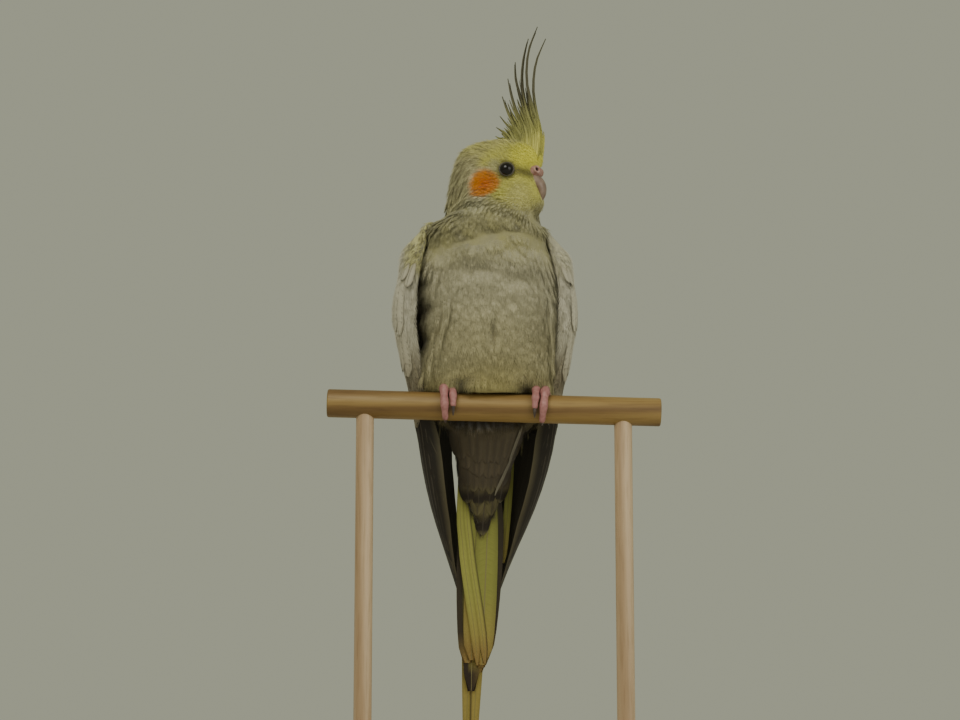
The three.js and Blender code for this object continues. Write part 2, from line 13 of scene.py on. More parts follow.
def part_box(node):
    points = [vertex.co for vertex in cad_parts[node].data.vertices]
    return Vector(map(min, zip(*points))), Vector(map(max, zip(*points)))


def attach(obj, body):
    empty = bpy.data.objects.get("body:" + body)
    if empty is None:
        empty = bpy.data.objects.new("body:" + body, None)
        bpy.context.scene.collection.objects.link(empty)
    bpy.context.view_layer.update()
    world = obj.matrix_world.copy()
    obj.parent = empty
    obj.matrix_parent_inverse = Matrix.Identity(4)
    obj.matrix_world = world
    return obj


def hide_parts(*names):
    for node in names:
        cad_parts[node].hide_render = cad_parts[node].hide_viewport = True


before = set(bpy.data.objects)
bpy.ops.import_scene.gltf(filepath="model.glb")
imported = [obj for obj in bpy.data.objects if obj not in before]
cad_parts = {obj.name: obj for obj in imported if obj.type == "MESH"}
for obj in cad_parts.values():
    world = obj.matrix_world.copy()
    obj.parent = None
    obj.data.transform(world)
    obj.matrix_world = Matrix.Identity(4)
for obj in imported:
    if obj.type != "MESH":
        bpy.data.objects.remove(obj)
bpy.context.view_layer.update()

# Stand: a flat board of pale hardwood with rounded corners and a softened edge, and two short rods let into
# it. The grain runs along the board and up the rods.
STAND_PALE = (0.60, 0.44, 0.27)
STAND_DARK = (0.42, 0.28, 0.155)
CORNER = 0.014
EDGE = 0.0012
ROD_EDGE = 0.0005
BOARD_GRAIN = 130  # how tight the grain is
ROD_GRAIN = 160


def node(material, kind, sockets=None, **settings):
    """Adds a shader node, with its settings and its sockets' values or links."""
    made = material.node_tree.nodes.new("ShaderNode" + kind)
    for name, value in settings.items():
        setattr(made, name, value)
    for name, value in (sockets or {}).items():
        if isinstance(value, bpy.types.NodeSocket):
            material.node_tree.links.new(value, made.inputs[name])
        else:
            made.inputs[name].default_value = value
    return made


def ramp(material, factor, stops):
    """A colour ramp's output, from (place, colour) stops."""
    made = node(material, "ValToRGB", {"Fac": factor})
    for i, (place, colour) in enumerate(stops):
        stop = made.color_ramp.elements[i] if i < 2 else made.color_ramp.elements.new(place)
        stop.position = place
        stop.color = (*colour, 1)
    return made.outputs["Color"]


def finish_material(name, roughness, **uniform):
    """A material and its shader, with the values that are the same all over."""
    material = bpy.data.materials.new(name)
    material.use_nodes = True
    shader = material.node_tree.nodes["Principled BSDF"]
    shader.inputs["Roughness"].default_value = roughness
    for socket, value in uniform.items():
        shader.inputs[socket.replace("_", " ")].default_value = value
    return material, shader


def connect(material, output, shader, socket):
    material.node_tree.links.new(output, shader.inputs[socket])


def object_place(material):
    return node(material, "TexCoord").outputs["Object"]


def noise(material, place, scale, detail=2.0, roughness=0.5):
    sockets = {"Vector": place, "Scale": scale, "Detail": detail, "Roughness": roughness}
    return node(material, "TexNoise", sockets).outputs["Fac"]


def shaded(material, share, colour, shade):
    """The colour multiplied by the shade, by a share from 0 to 1."""
    sockets = {"Factor": share, "A": colour, "B": shade}
    return node(material, "Mix", sockets, data_type="RGBA", blend_type="MULTIPLY").outputs["Result"]


def bumped(material, shader, height, strength, depth):
    """Raises the surface by a height from 0 to 1, times the depth in metres."""
    bump = node(material, "Bump", {"Height": height, "Strength": strength, "Distance": depth})
    connect(material, bump.outputs["Normal"], shader, "Normal")


def drawn_out(material, place, axis, across, along):
    """Places scaled one way across the grain and another way along it."""
    scale = [across, across, across]
    scale[axis] = along
    return node(material, "Mapping", {"Vector": place, "Scale": scale}).outputs["Vector"]


def wood(name, pale, dark, axis, tightness):
    """Oiled hardwood whose grain runs along one axis: streaks, rings and pores, in metres."""
    material, shader = finish_material(name, 0.5, Coat_Weight=0.08, Coat_Roughness=0.4)
    place = object_place(material)
    grain = drawn_out(material, place, axis, tightness, tightness * 0.07)
    streaks = noise(material, grain, 1.0, 6.0, 0.62)
    rings = node(
        material,
        "TexWave",
        {"Vector": grain, "Scale": 0.22, "Distortion": 5.0, "Detail": 3.0, "Detail Scale": 1.4},
        wave_type="RINGS",
        rings_direction="XYZ"[axis],
    )
    both = node(material, "Mix", {"Factor": 0.45, "A": streaks, "B": rings.outputs["Fac"]}).outputs["Result"]
    middle = tuple((p + d) / 2 for p, d in zip(pale, dark))
    colour = ramp(material, both, [(0.28, dark), (0.7, pale), (0.46, middle)])
    pores = drawn_out(material, place, axis, tightness * 6, tightness * 0.35)
    pore = noise(material, pores, 1.0, 3.0)
    shade = ramp(material, pore, [(0.32, (0.72, 0.68, 0.62)), (0.5, (1, 1, 1))])
    connect(material, shaded(material, 0.6, colour, shade), shader, "Base Color")
    rough = node(material, "MapRange", {"Value": pore, "To Min": 0.62, "To Max": 0.42}).outputs["Result"]
    connect(material, rough, shader, "Roughness")
    bumped(material, shader, pore, 0.25, 0.0003)
    return material


def piece(name, mesh, material, slot, *nodes):
    """Puts a finished mesh in the scene as a piece that rides on the model and stands for CAD nodes."""
    made = bpy.data.objects.new(name, mesh)
    bpy.context.scene.collection.objects.link(made)
    mesh.materials.append(material)
    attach(made, "root")
    if nodes:
        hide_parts(*nodes)
    return made


def mesh_of(name, shape, sharp=40):
    """The bmesh as a mesh with outward faces, smooth but for edges sharper than the angle."""
    bmesh.ops.recalc_face_normals(shape, faces=shape.faces)
    if shape.calc_volume(signed=True) < 0:
        bmesh.ops.reverse_faces(shape, faces=shape.faces)
    mesh = bpy.data.meshes.new(name)
    shape.to_mesh(mesh)
    shape.free()
    mesh.shade_smooth()
    mesh.set_sharp_from_angle(angle=math.radians(sharp))
    return mesh


def settle(shape):
    """Lists the faces by their corners, because the operators list them in another order each run."""
    shape.verts.index_update()
    for i, face in enumerate(sorted(shape.faces, key=lambda face: sorted(v.index for v in face.verts))):
        face.index = i
    shape.faces.sort()


def soften(shape, edges, width, segments):
    bmesh.ops.bevel(
        shape,
        geom=edges,
        offset=width,
        offset_type="OFFSET",
        affect="EDGES",
        segments=segments,
        profile=0.5,
        material=-1,
        clamp_overlap=True,
    )


def height_of(edge):
    return abs(edge.verts[0].co.z - edge.verts[1].co.z)


def folded(edge):
    """Whether an edge's two faces meet at a sharp angle."""
    return edge.calc_face_angle(0) > 1


def board(name, low, high):
    """A flat board with round corners and softened edges."""
    shape = bmesh.new()
    bmesh.ops.create_cube(shape, size=1)
    bmesh.ops.scale(shape, vec=high - low, verts=shape.verts)
    bmesh.ops.translate(shape, vec=(low + high) / 2, verts=shape.verts)
    soften(shape, [e for e in shape.edges if height_of(e) > EDGE], CORNER, 12)
    soften(shape, [e for e in shape.edges if height_of(e) < EDGE and folded(e)], EDGE, 4)
    settle(shape)
    return mesh_of(name, shape)


def bar(name, start, end, radius, edge):
    """A round bar from start to end with softened ends."""
    start, end = Vector(start), Vector(end)
    place = Matrix.Translation((start + end) / 2) @ (end - start).to_track_quat("Z", "Y").to_matrix().to_4x4()
    shape = bmesh.new()
    bmesh.ops.create_cone(
        shape, cap_ends=True, segments=72, radius1=radius, radius2=radius, depth=(end - start).length
    )
    soften(shape, [e for e in shape.edges if folded(e)], edge, 3)
    bmesh.ops.transform(shape, matrix=place, verts=shape.verts)
    return mesh_of(name, shape)


board_wood = wood("stand_board_wood", STAND_PALE, STAND_DARK, 0, BOARD_GRAIN)
rod_wood = wood("stand_rod_wood", STAND_PALE, STAND_DARK, 2, ROD_GRAIN)
piece("display_base", board("display_base", *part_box("stand_base")), board_wood, "stand_wood", "stand_base")
for side in ("left", "right"):
    low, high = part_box("stand_rod_" + side)
    middle = (low + high) / 2
    name = "display_rod_" + side
    rod = bar(name, (middle.x, middle.y, low.z), (middle.x, middle.y, high.z), (high.x - low.x) / 2, ROD_EDGE)
    piece(name, rod, rod_wood, "stand_wood", "stand_rod_" + side)

# Perch: a cut length of half-inch dowel, a little down at the bird's left, browned and dirtied by use.
# Its frame is also the feet's frame: X runs along the dowel and Z points up from its middle.
PERCH_CENTRE = np.array([0, -20, 188])
PERCH_SLANT = math.radians(1.6)
PERCH_RADIUS = 6.35
PERCH_HALF = 75
PERCH_EDGE = 0.8
PERCH_GRAIN = 190
PERCH_PALE = (0.33, 0.21, 0.062)
PERCH_DARK = (0.185, 0.102, 0.028)
MM = 0.001

roost_axes = np.array(
    [
        [math.cos(PERCH_SLANT), 0, math.sin(PERCH_SLANT)],
        [0, 1, 0],
        [-math.sin(PERCH_SLANT), 0, math.cos(PERCH_SLANT)],
    ]
)


def from_roost(points):
    """Points of the perch's frame in millimetres, in the model's frame in metres."""
    return (np.asarray(points) @ roost_axes.T + PERCH_CENTRE) * MM


ends = from_roost([[-PERCH_HALF, 0, 0], [PERCH_HALF, 0, 0]])
perch_wood = wood("perch_wood", PERCH_PALE, PERCH_DARK, 0, PERCH_GRAIN)
dowel = bar("perch_dowel", *ends, PERCH_RADIUS * MM, PERCH_EDGE * MM)
piece("perch_dowel", dowel, perch_wood, "perch_wood", "perch")

# Skin: the bird's body, neck, head and thighs as one smooth form, a coat's depth inside the solids. The body
# is a stack of level sections, the head and the thighs are shaped balls, and all are melted together.
BIRD_TURN = math.radians(8)
HEAD_TURN = math.radians(64)
HEAD_CENTRE = np.array([0, -14, 104])
HEAD_HALF = np.array([14.8, 21, 16.8])
HEAD_SQUARENESS = 2.6
COAT_DEPTH = {"body": 2.0, "head": 1.1, "thigh": 1.5}
BODY_ENDS = 5  # how blunt the top and the bottom of the body are
BACK_SHIFT, BACK_TAPER = -3.2, 7
# Each section, as [height over the perch, sideways, back, half width, depth in front, depth behind, turn to
# the bird's left in degrees].
SECTIONS = [
    [-49, 1.2, 43, 4.5, 3.5, 4, 0],
    [-38, 0.2, 38.5, 9.2, 6.5, 7.5, 0],
    [-26, -0.9, 33, 13, 10, 11, 0],
    [-15, -0.5, 27.5, 15.8, 13, 14.5, 0],
    [-8, 0, 24, 18.5, 16, 16.5, 0],
    [-2, 0.2, 20, 24, 19, 18.5, 0],
    [8, 0.2, 14.5, 30, 24, 18, 0],
    [25, -1, 8, 30.8, 28, 20.5, 0],
    [45, -1.4, 0.5, 30.8, 28.5, 22.5, 0],
    [62, -2.2, -5, 29.6, 27, 23, 2],
    [75, -2.4, -9, 26.8, 23.5, 22.5, 10],
    [86, -2, -11.5, 23, 23, 24, 36],
    [95, -1, -13, 17.8, 21.5, 25, 58],
    [104, -0.3, -14, 13.5, 18.5, 21, 64],
    [112, 0, -14, 7, 11, 12, 64],
]
# Soft swellings and hollows of the head, as [place, how far out, spread].
HEAD_LOBES = [
    [(0, -18, 6.5), 2.0, 6],  # forehead over the cere
    [(6.8, -18, -11), 3.8, 5.8],  # cheeks beside the bill
    [(-6.8, -18, -11), 3.8, 5.8],
    [(0, -14, -17), 4.0, 6.5],  # chin
    [(0, -21, -6.5), -2.4, 4.5],  # hollow that the bill comes out of
    [(4.4, -19, 0.4), -3.6, 3.2],  # beside the nostrils
    [(-4.4, -19, 0.4), -3.6, 3.2],
    [(0, -17.5, -14.5), 3.8, 5],  # beard under the bill
    [(14, -7, 0), -1, 4.5],  # eye sockets
    [(-14, -7, 0), -1, 4.5],
    [(0, 20, -8), 3.2, 10],  # nape
    [(0, 20, -17), 5.2, 8],
]
THIGH = {"at": (19, 6.5, 18), "half": (6.4, 8, 7.6)}
VOXEL = 0.0012
SKIN_SMOOTHING = 10
SKIN_OFF_PERCH = 1.6
# Puffs and hollows of the ruffled coat seen from the front, as [sideways, height, how far out, half width,
# half height].
RUFFLES = [
    (-18, 79, 1.8, 8, 5),
    (-1, 81, 0.8, 8, 4),
    (19, 80, 1.2, 5, 4),
    (-10, 66, 0.5, 8, 4.5),
    (12, 63, 0.5, 7, 4.5),
    (27, 40, 1.2, 6, 22),
    (-25, 77, 3.8, 6, 6),
    (-30, 66, 5.8, 6, 8),
    (-30, 52, 4.2, 5, 6),
    (-30, 40, 2.8, 4, 6),
    (-30, 19, 4.6, 5, 10),
    (-13, 87, -0.8, 8, 1.6),
    (9, 76.2, -1.5, 4, 1.6),
    (-1, 74, -0.8, 5, 1.8),
    (-12, 71.6, -0.9, 6, 1.8),
    (-4, 60, -0.4, 7, 3),
    (10, 56, -0.3, 6, 3),
    (-15, 8.5, -1.6, 3.4, 3.4),
    (15.5, 8.5, -1.6, 3.4, 3.4),
    (19.4, 82, -1.2, 2.6, 2.2),
    (-0.3, 32, -1.2, 1.3, 6),
]


def turned_about_z(angle):
    c, s = math.cos(angle), math.sin(angle)
    return np.array([[c, -s, 0], [s, c, 0], [0, 0, 1]])


bird_axes = turned_about_z(BIRD_TURN)
head_axes = turned_about_z(HEAD_TURN)


def from_bird(points):
    """Points of the bird's frame in millimetres, in the model's frame in metres."""
    return (np.asarray(points) @ bird_axes.T + PERCH_CENTRE) * MM


def to_bird(points):
    return (np.asarray(points) / MM - PERCH_CENTRE) @ bird_axes


def from_head(points):
    """Points of the head's frame, which looks along -Y, in the model's frame."""
    return from_bird(np.asarray(points) @ head_axes.T + HEAD_CENTRE)


def to_head(points):
    """Points of the bird's frame, in the head's frame."""
    return (np.asarray(points) - HEAD_CENTRE) @ head_axes


def stepped(rows, at):
    """The values of a table of [place, value, ...] rows at other places, joined smoothly."""
    rows = np.asarray(rows, float)
    at = np.asarray(at, float)
    i = np.clip(np.searchsorted(rows[:, 0], at, side="right"), 1, len(rows) - 1)
    share = np.clip((at - rows[i - 1, 0]) / (rows[i, 0] - rows[i - 1, 0]), 0, 1)[..., None]
    a, b, c, d = (rows[np.clip(i + k, 0, len(rows) - 1), 1:] for k in (-2, -1, 0, 1))
    curve = share**2 * (a - 2.5 * b + 2 * c - 0.5 * d) + share**3 * 0.5 * (3 * b - 3 * c + d - a)
    return np.moveaxis(b + 0.5 * share * (c - a) + curve, -1, 0)


def smooth(low, high, x):
    """Rises from 0 at low to 1 at high, or falls where low is the greater."""
    t = np.clip((x - low) / (high - low), 0, 1)
    return t * t * (3 - 2 * t)


def body_form(ball):
    """The body's surface for the points of a unit ball."""
    lowest, highest = SECTIONS[0][0] - 2, SECTIONS[-1][0]
    heights = lowest + (highest - lowest) * (1 + ball[:, 2]) / 2
    x, y, wide, front, back, turn = stepped(SECTIONS, heights)
    ring = np.clip(1 - np.abs(ball[:, 2]) ** BODY_ENDS, 0, 1) ** (1 / BODY_ENDS)
    bearing = np.arctan2(ball[:, 1], ball[:, 0])
    side, ahead = np.cos(bearing - np.radians(turn)), np.sin(bearing - np.radians(turn))
    rear = np.clip(ahead, 0, 1) * wide / 30
    reach = 1 / np.hypot(side / (wide - BACK_TAPER * rear), ahead / np.where(ahead > 0, back, front))
    reach = np.maximum(reach - COAT_DEPTH["body"], 1)
    aside = BACK_SHIFT * rear**2 + reach * np.cos(bearing)
    return from_bird(np.stack([x + ring * aside, y + ring * reach * np.sin(bearing), heights], 1))


def head_form(ball):
    """The head's surface for the points of a unit ball."""
    profile = np.hypot(ball[:, 1], ball[:, 2])
    power = HEAD_SQUARENESS
    square = (np.abs(ball[:, 1]) ** power + np.abs(ball[:, 2]) ** power) ** (1 / power)
    stretch = 1 + profile * (profile / np.maximum(square, 1e-6) - 1)
    points = ball * stretch[:, None] * (HEAD_HALF - COAT_DEPTH["head"])
    away = points / np.linalg.norm(points, axis=1)[:, None]
    for place, out, spread in HEAD_LOBES:
        near = np.linalg.norm(points - place, axis=1) / spread
        points = points + away * (out * np.exp(-(near**2)))[:, None]
    return from_head(points)


def thigh_form(ball, side):
    half = np.array(THIGH["half"]) - COAT_DEPTH["thigh"]
    return from_roost(ball * half + np.array(THIGH["at"]) * (side, 1, 1))


def rounded(name, *balls):
    """A smooth closed mesh of balls, each as its two counts of segments and the form that it is given."""
    shape = bmesh.new()
    for u, v, form, *settings in balls:
        verts = bmesh.ops.create_uvsphere(shape, u_segments=u, v_segments=v, radius=1)["verts"]
        for vert, spot in zip(verts, form(np.array([v.co for v in verts]), *settings)):
            vert.co = spot
    settle(shape)
    return mesh_of(name, shape, 180)


def fused(mesh):
    """The mesh's overlapping forms as one smooth skin."""
    rough = bpy.data.objects.new("rough_skin", mesh)
    bpy.context.scene.collection.objects.link(rough)
    fusing = rough.modifiers.new("one_skin", "REMESH")
    fusing.mode = "VOXEL"
    fusing.voxel_size = VOXEL
    shape = bmesh.new()
    shape.from_mesh(rough.evaluated_get(bpy.context.evaluated_depsgraph_get()).to_mesh())
    for _ in range(SKIN_SMOOTHING):
        bmesh.ops.smooth_vert(
            shape, verts=shape.verts, factor=0.5, use_axis_x=True, use_axis_y=True, use_axis_z=True
        )
    bpy.data.objects.remove(rough)
    return mesh_of("skin", shape, 180)


def read(items, key, width, kind=np.float32):
    """One value of each item of a mesh, as rows of an array."""
    values = np.empty(len(items) * width, kind)
    items.foreach_get(key, values)
    return values.reshape(-1, width)


def read_points(mesh):
    return read(mesh.vertices, "co", 3).astype(float)


def ruffle(points, rows=RUFFLES):
    """How far the ruffled coat stands out at points of the bird's frame, less than 0 in its hollows."""
    seen = points @ bird_axes.T
    front = smooth(16, 2, seen[:, 1] + 0.12 * seen[:, 2])
    swell = sum(
        out * np.exp(-(((seen[:, 0] - x) / wide) ** 2) - ((seen[:, 2] - z) / tall) ** 2)
        for x, z, out, wide, tall in rows
    )
    return swell * front


def to_roost(points):
    return (points / MM - PERCH_CENTRE) @ roost_axes


def clear_of_perch(points, gap):
    """Moves what is in the dowel, or nearer to it than the gap, to the gap from it."""
    in_roost = to_roost(points)
    reach = np.hypot(in_roost[..., 1], in_roost[..., 2])
    clear = PERCH_RADIUS + gap
    in_roost[..., 1:] *= np.where(reach < clear, clear / np.maximum(reach, 0.1), 1)[..., None]
    return from_roost(in_roost)


thighs = [(32, 24, thigh_form, side) for side in (-1, 1)]
skin_mesh = fused(rounded("rough_skin", (96, 96, body_form), (72, 48, head_form), *thighs))
# The coat's puffs and creases are in the skin too, and the belly is dented where it rests against the dowel.
points = read_points(skin_mesh)
points += read(skin_mesh.vertices, "normal", 3) * (ruffle(to_bird(points)) * MM)[:, None]
dented = clear_of_perch(points, SKIN_OFF_PERCH)
skin_mesh.vertices.foreach_set("co", dented.astype(np.float32).ravel())
skin_mesh.update()

# Markings: a grey-buff breast, a yellow mask and crown, a barred nape and an orange patch on each cheek. They
# go by place, so the skin and the feathers that grow on it have the same ones.
def light(red, green, blue):
    """A colour picked on screen, from 0 to 255, as linear values."""
    c = np.array([red, green, blue]) / 255
    return np.where(c <= 0.04045, c / 12.92, ((c + 0.055) / 1.055) ** 2.4)


BREAST_GREY = light(184, 178, 147)
BELLY_BUFF = light(176, 168, 130)
BELLY_YELLOW = light(172, 160, 98)
THROAT = light(172, 166, 116)
NAPE_GREY = light(192, 186, 141)
NAPE_DARK = light(142, 133, 97)
CROWN_PALE = light(206, 201, 124)
MASK_YELLOW = light(226, 221, 116)
MASK_BRIGHT = light(234, 229, 90)
CHEEK_CREAM = light(222, 216, 140)
CHEEK_WHITE = light(200, 196, 158)
ORANGE = light(232, 152, 44)
ORANGE_DEEP = light(226, 128, 28)
RIM_BUFF = light(224, 210, 172)
LORE_OLIVE = light(88, 78, 38)
BACK_GREY = light(146, 138, 122)
# The vent's own grey-brown, darkened by painted shade for the shade under the perch.
VENT_GREY_AND_SHADE = light(104, 95, 76)
FLANK_BROWN_AND_SHADE = light(88, 76, 58)
SKIN_SHADE = 0.8  # the skin is that much darker than its feathers
EYE_AT = np.array([11.8, -7.6, -0.8])
CHEEK_PATCH = {"ahead": -1.7, "up": -7.0, "radius": 6.2}
# Soft round marks of the head, as (colour, ahead of the skull's middle, up, squash, radius of the rim and of
# the full colour, share).
HEAD_MARKS = [
    (MASK_BRIGHT, 15, 7, 1, 9, 4, 1),
    (CHEEK_CREAM, 13, -13, 0.8, 7, 3, 0.75),
    (CHEEK_WHITE, -4, -15.5, 1, 7, 3, 0.8),
    (CHEEK_WHITE, 2.5, 1, 1, 4.5, 1.5, 0.6),
]


def laid(under, over, share):
    """One colour over another, each an array of colours or one colour."""
    share = np.asarray(share)[..., None]
    return under * (1 - share) + over * share


def soft_noise(points, size, seed):
    """A smooth random value from about -1 to 1 at each point, from a few crossing waves."""
    draw = np.random.default_rng(seed)
    total = np.zeros(len(points))
    for _ in range(9):
        wave = draw.normal(size=3)
        wave *= draw.uniform(0.6, 1.7) * 2 * math.pi / size / np.linalg.norm(wave)
        total += np.sin(points @ wave + draw.uniform(0, 2 * math.pi))
    return total / 3


def body_middle(height):
    """How far back the middle of the body lies at heights over the perch."""
    rows = np.array(SECTIONS)
    return np.interp(height, rows[:, 0], rows[:, 2])


def body_plumage(points, mottle):
    """The colour of the coat up to the throat."""
    aside, back, height = points.T
    front = smooth(10, -12, back - body_middle(height))
    colour = laid(BREAST_GREY, BELLY_BUFF, smooth(52, 24, height))
    colour = laid(colour, BELLY_YELLOW, 0.75 * smooth(30, 6, height + 0.25 * np.abs(aside)))
    # Below the perch the coat turns darker: its own grey-brown, and painted shade.
    colour = laid(colour, VENT_GREY_AND_SHADE, smooth(4, -7, height))
    # Painted shadow: dark spots beside each foot, for the shade between the belly and the thighs.
    shadow_beside_foot = np.exp(-(((np.abs(aside + 0.5) - 14.8) / 4.2) ** 2)) * smooth(15, 8.5, height)
    colour = laid(colour, VENT_GREY_AND_SHADE * 0.5, 0.75 * shadow_beside_foot)
    colour = laid(colour, BACK_GREY, (1 - front) * smooth(-6, 10, height))
    # Brown streaks on the right flank only: the flank feathers' own streaks, and painted shade of the gap by
    # the wing.
    flank = smooth(-29.5, -32, aside) * np.exp(-(((height - 38) / 9) ** 2))
    colour = laid(colour, FLANK_BROWN_AND_SHADE, flank * smooth(-0.6, 0.4, np.sin(aside * 5 + back * 3)))
    return laid(colour, THROAT, smooth(58, 72, height) * (0.75 + 0.25 * mottle))


def nape_plumage(points, ahead, up):
    """The colour of the nape and the crown, with dark bars across them."""
    colour = laid(NAPE_GREY, CROWN_PALE, smooth(0, 9, up + 0.35 * ahead))
    bars = np.sin(2.5 * (0.8 * up - ahead) + 2.2 * soft_noise(points, 6, 5))
    barred = smooth(-0.2, 0.9, bars) * smooth(9, -4, ahead) * smooth(-18, -8, up)
    return laid(colour, NAPE_DARK, 0.7 * barred)


def plumage(points):
    """The colour of the coat at points of the bird's frame."""
    height = points[:, 2]
    aside, along, up = to_head(points).T
    ahead = -along
    mottle = soft_noise(points, 13, 3) * 0.6 + soft_noise(points, 6, 4) * 0.5
    colour = laid(body_plumage(points, mottle), nape_plumage(points, ahead, up), smooth(80, 90, height))
    from_mask = np.hypot(ahead - 11.5, 1.05 * (up + 2.5))
    mask = smooth(19, 11.5, from_mask + 0.7 * mottle) * smooth(84, 92, height + 0.3 * ahead)
    colour = laid(colour, MASK_YELLOW, mask)
    for tint, mark_ahead, mark_up, squash, rim, full, share in HEAD_MARKS:
        from_mark = np.hypot(ahead - mark_ahead, squash * (up - mark_up))
        colour = laid(colour, tint, share * smooth(rim, full, from_mark))
    on_side = smooth(6, 9, np.abs(aside))
    patch = np.hypot(ahead - CHEEK_PATCH["ahead"], up - CHEEK_PATCH["up"]) / CHEEK_PATCH["radius"]
    colour = laid(colour, RIM_BUFF, 0.8 * smooth(1.45, 1.1, patch) * on_side * smooth(4, -2, ahead))
    colour = laid(colour, ORANGE, smooth(1.2, 0.86, patch) * on_side)
    colour = laid(colour, ORANGE_DEEP, smooth(0.75, 0.2, patch) * on_side)
    lore = np.exp(-(((up + 0.8 + 0.25 * (ahead - 11)) / 2.3) ** 2)) * smooth(8.5, 11, ahead)
    lore *= smooth(20, 17, ahead)
    from_eye = np.hypot(ahead + EYE_AT[1], up - EYE_AT[2])
    colour = laid(colour, LORE_OLIVE, np.maximum(0.75 * lore, 0.6 * smooth(5.2, 4.0, from_eye) * on_side))
    return colour * (1 + 0.05 * mottle)[:, None]


def paint(mesh, tints):
    """Stores linear colours for the mesh's points."""
    layer = mesh.color_attributes.new("tint", "FLOAT_COLOR", "POINT")
    values = np.ones((len(mesh.vertices), 4), np.float32)
    values[:, :3] = np.clip(tints, 0, 1)
    layer.data.foreach_set("color", values.ravel())


def painted(material):
    return node(material, "Attribute", attribute_name="tint").outputs["Color"]


def plumage_material(name, roughness, sheen):
    """Soft feathers in the piece's own tints, with a fine grain across them."""
    material, shader = finish_material(
        name, roughness, Sheen_Weight=sheen, Sheen_Roughness=0.5, Specular_IOR_Level=0.25
    )
    speckle = noise(material, object_place(material), 900.0)
    shade = ramp(material, speckle, [(0.3, (0.86, 0.86, 0.86)), (0.7, (1, 1, 1))])
    connect(material, shaded(material, 0.8, painted(material), shade), shader, "Base Color")
    return material


def unwrap(made):
    """Unwraps a form by its own shape, for the colours of what grows on it."""
    for each in bpy.context.selected_objects:
        each.select_set(False)
    made.select_set(True)
    bpy.context.view_layer.objects.active = made
    bpy.ops.object.mode_set(mode="EDIT")
    bpy.ops.mesh.select_all(action="SELECT")
    bpy.ops.uv.smart_project(angle_limit=math.radians(66), island_margin=0.004)
    bpy.ops.object.mode_set(mode="OBJECT")
    made.data.uv_layers[0].name = "OFBake"


paint(skin_mesh, plumage(to_bird(read_points(skin_mesh))) * SKIN_SHADE)
skin_material = plumage_material("skin_and_down", 0.9, 0.2)
skin_nodes = ("torso", "neck", "head", "thigh_left", "thigh_right")
unwrap(piece("body_skin", skin_mesh, skin_material, "breast_plumage", *skin_nodes))

# Coat: small body feathers, each a shaft with loose barbs to both sides. They are rooted in the skin and lie
# back from the bill, over the head, down the neck and down the body, over one another like tiles.
BODY_BARB_WIDTH = 0.17
FACE_BARB_WIDTH = 0.3
# The barbs on each side of a shaft, as (along the shaft, across at the end, along at the end).
BODY_BARBS = [(0.05, 1.0, 0.5), (0.18, 1.1, 0.72), (0.32, 0.98, 0.92), (0.48, 0.72, 1.08), (0.64, 0.42, 1.2)]
FACE_BARBS = [(0.05, 1.0, 0.62), (0.3, 0.7, 1.0)]
PLUME_THICKNESS = 0.07
PLUME_SINK = 0.25  # how deep a feather's root is in the skin
PLUME_CURVE = 0.5
PLUME_OFF_PERCH = 0.3
PATCH = 0.003  # of the unwrapped skin that each feather's colours are kept on
OFFERED = 3.2  # places tried for each root
BARE_ROUND_EYE = 3.1
BARE_ROUND_NOSTRIL = 3.0
COLLAR_HEIGHT = 96
FACE_REACH = 19


def add_barb(shape, start, end, width):
    """A thin spike in the plane of the vane, from (across, along) to (across, along)."""
    way = Vector((end[0] - start[0], end[1] - start[1], 0))
    beside = Vector((width, 0, 0))
    turn = Matrix((beside, Vector((0, 0, 1.0)), way)).transposed().to_4x4()
    middle = Vector(((start[0] + end[0]) / 2, (start[1] + end[1]) / 2, 0))
    bmesh.ops.create_cone(
        shape,
        cap_ends=True,
        cap_tris=True,
        segments=3,
        radius1=1,
        radius2=0,
        depth=1,
        matrix=Matrix.Translation(middle) @ turn,
    )


def as_arrays(shape):
    """The bmesh's points and triangles."""
    bmesh.ops.triangulate(shape, faces=shape.faces)
    bmesh.ops.recalc_face_normals(shape, faces=shape.faces)
    shape.verts.index_update()
    points = np.array([v.co for v in shape.verts])
    faces = np.array([[v.index for v in face.verts] for face in shape.faces])
    shape.free()
    return points, faces


def plume_shape(barbs, width):
    """A small loose feather, from -1 to 1 across and 0 to 1 along: a shaft, and barbs to both sides of it."""
    shape = bmesh.new()
    add_barb(shape, (0, 0), (0, 1.25), width)
    for start, across, along in barbs:
        for side in (-1, 1):
            add_barb(shape, (0.05 * side, start), (across * side, along - 0.03 * side), width)
    return as_arrays(shape)


def repeated(name, faces, points, tints, map_name, places, sharp=150):
    """One mesh of many copies of a template, with colours and a map for each copy's points."""
    count, size = points.shape[:2]
    mesh = bpy.data.meshes.new(name)
    mesh.vertices.add(count * size)
    mesh.vertices.foreach_set("co", points.astype(np.float32).ravel())
    corners = (faces[None] + (np.arange(count) * size)[:, None, None]).ravel().astype(np.int32)
    mesh.loops.add(len(corners))
    mesh.loops.foreach_set("vertex_index", corners)
    mesh.polygons.add(len(corners) // 3)
    mesh.polygons.foreach_set("loop_start", np.arange(0, len(corners), 3, dtype=np.int32))
    mesh.update(calc_edges=True)
    mesh.shade_smooth()
    mesh.set_sharp_from_angle(angle=math.radians(sharp))
    layer = mesh.uv_layers.new(name=map_name)
    layer.uv.foreach_set("vector", places.reshape(-1, 2)[corners].astype(np.float32).ravel())
    paint(mesh, tints.reshape(-1, 3))
    return mesh


def tree_of(points):
    """The points, ready for finding which are nearest to a place."""
    tree = KDTree(len(points))
    for i, point in enumerate(points):
        tree.insert(point, i)
    tree.balance()
    return tree


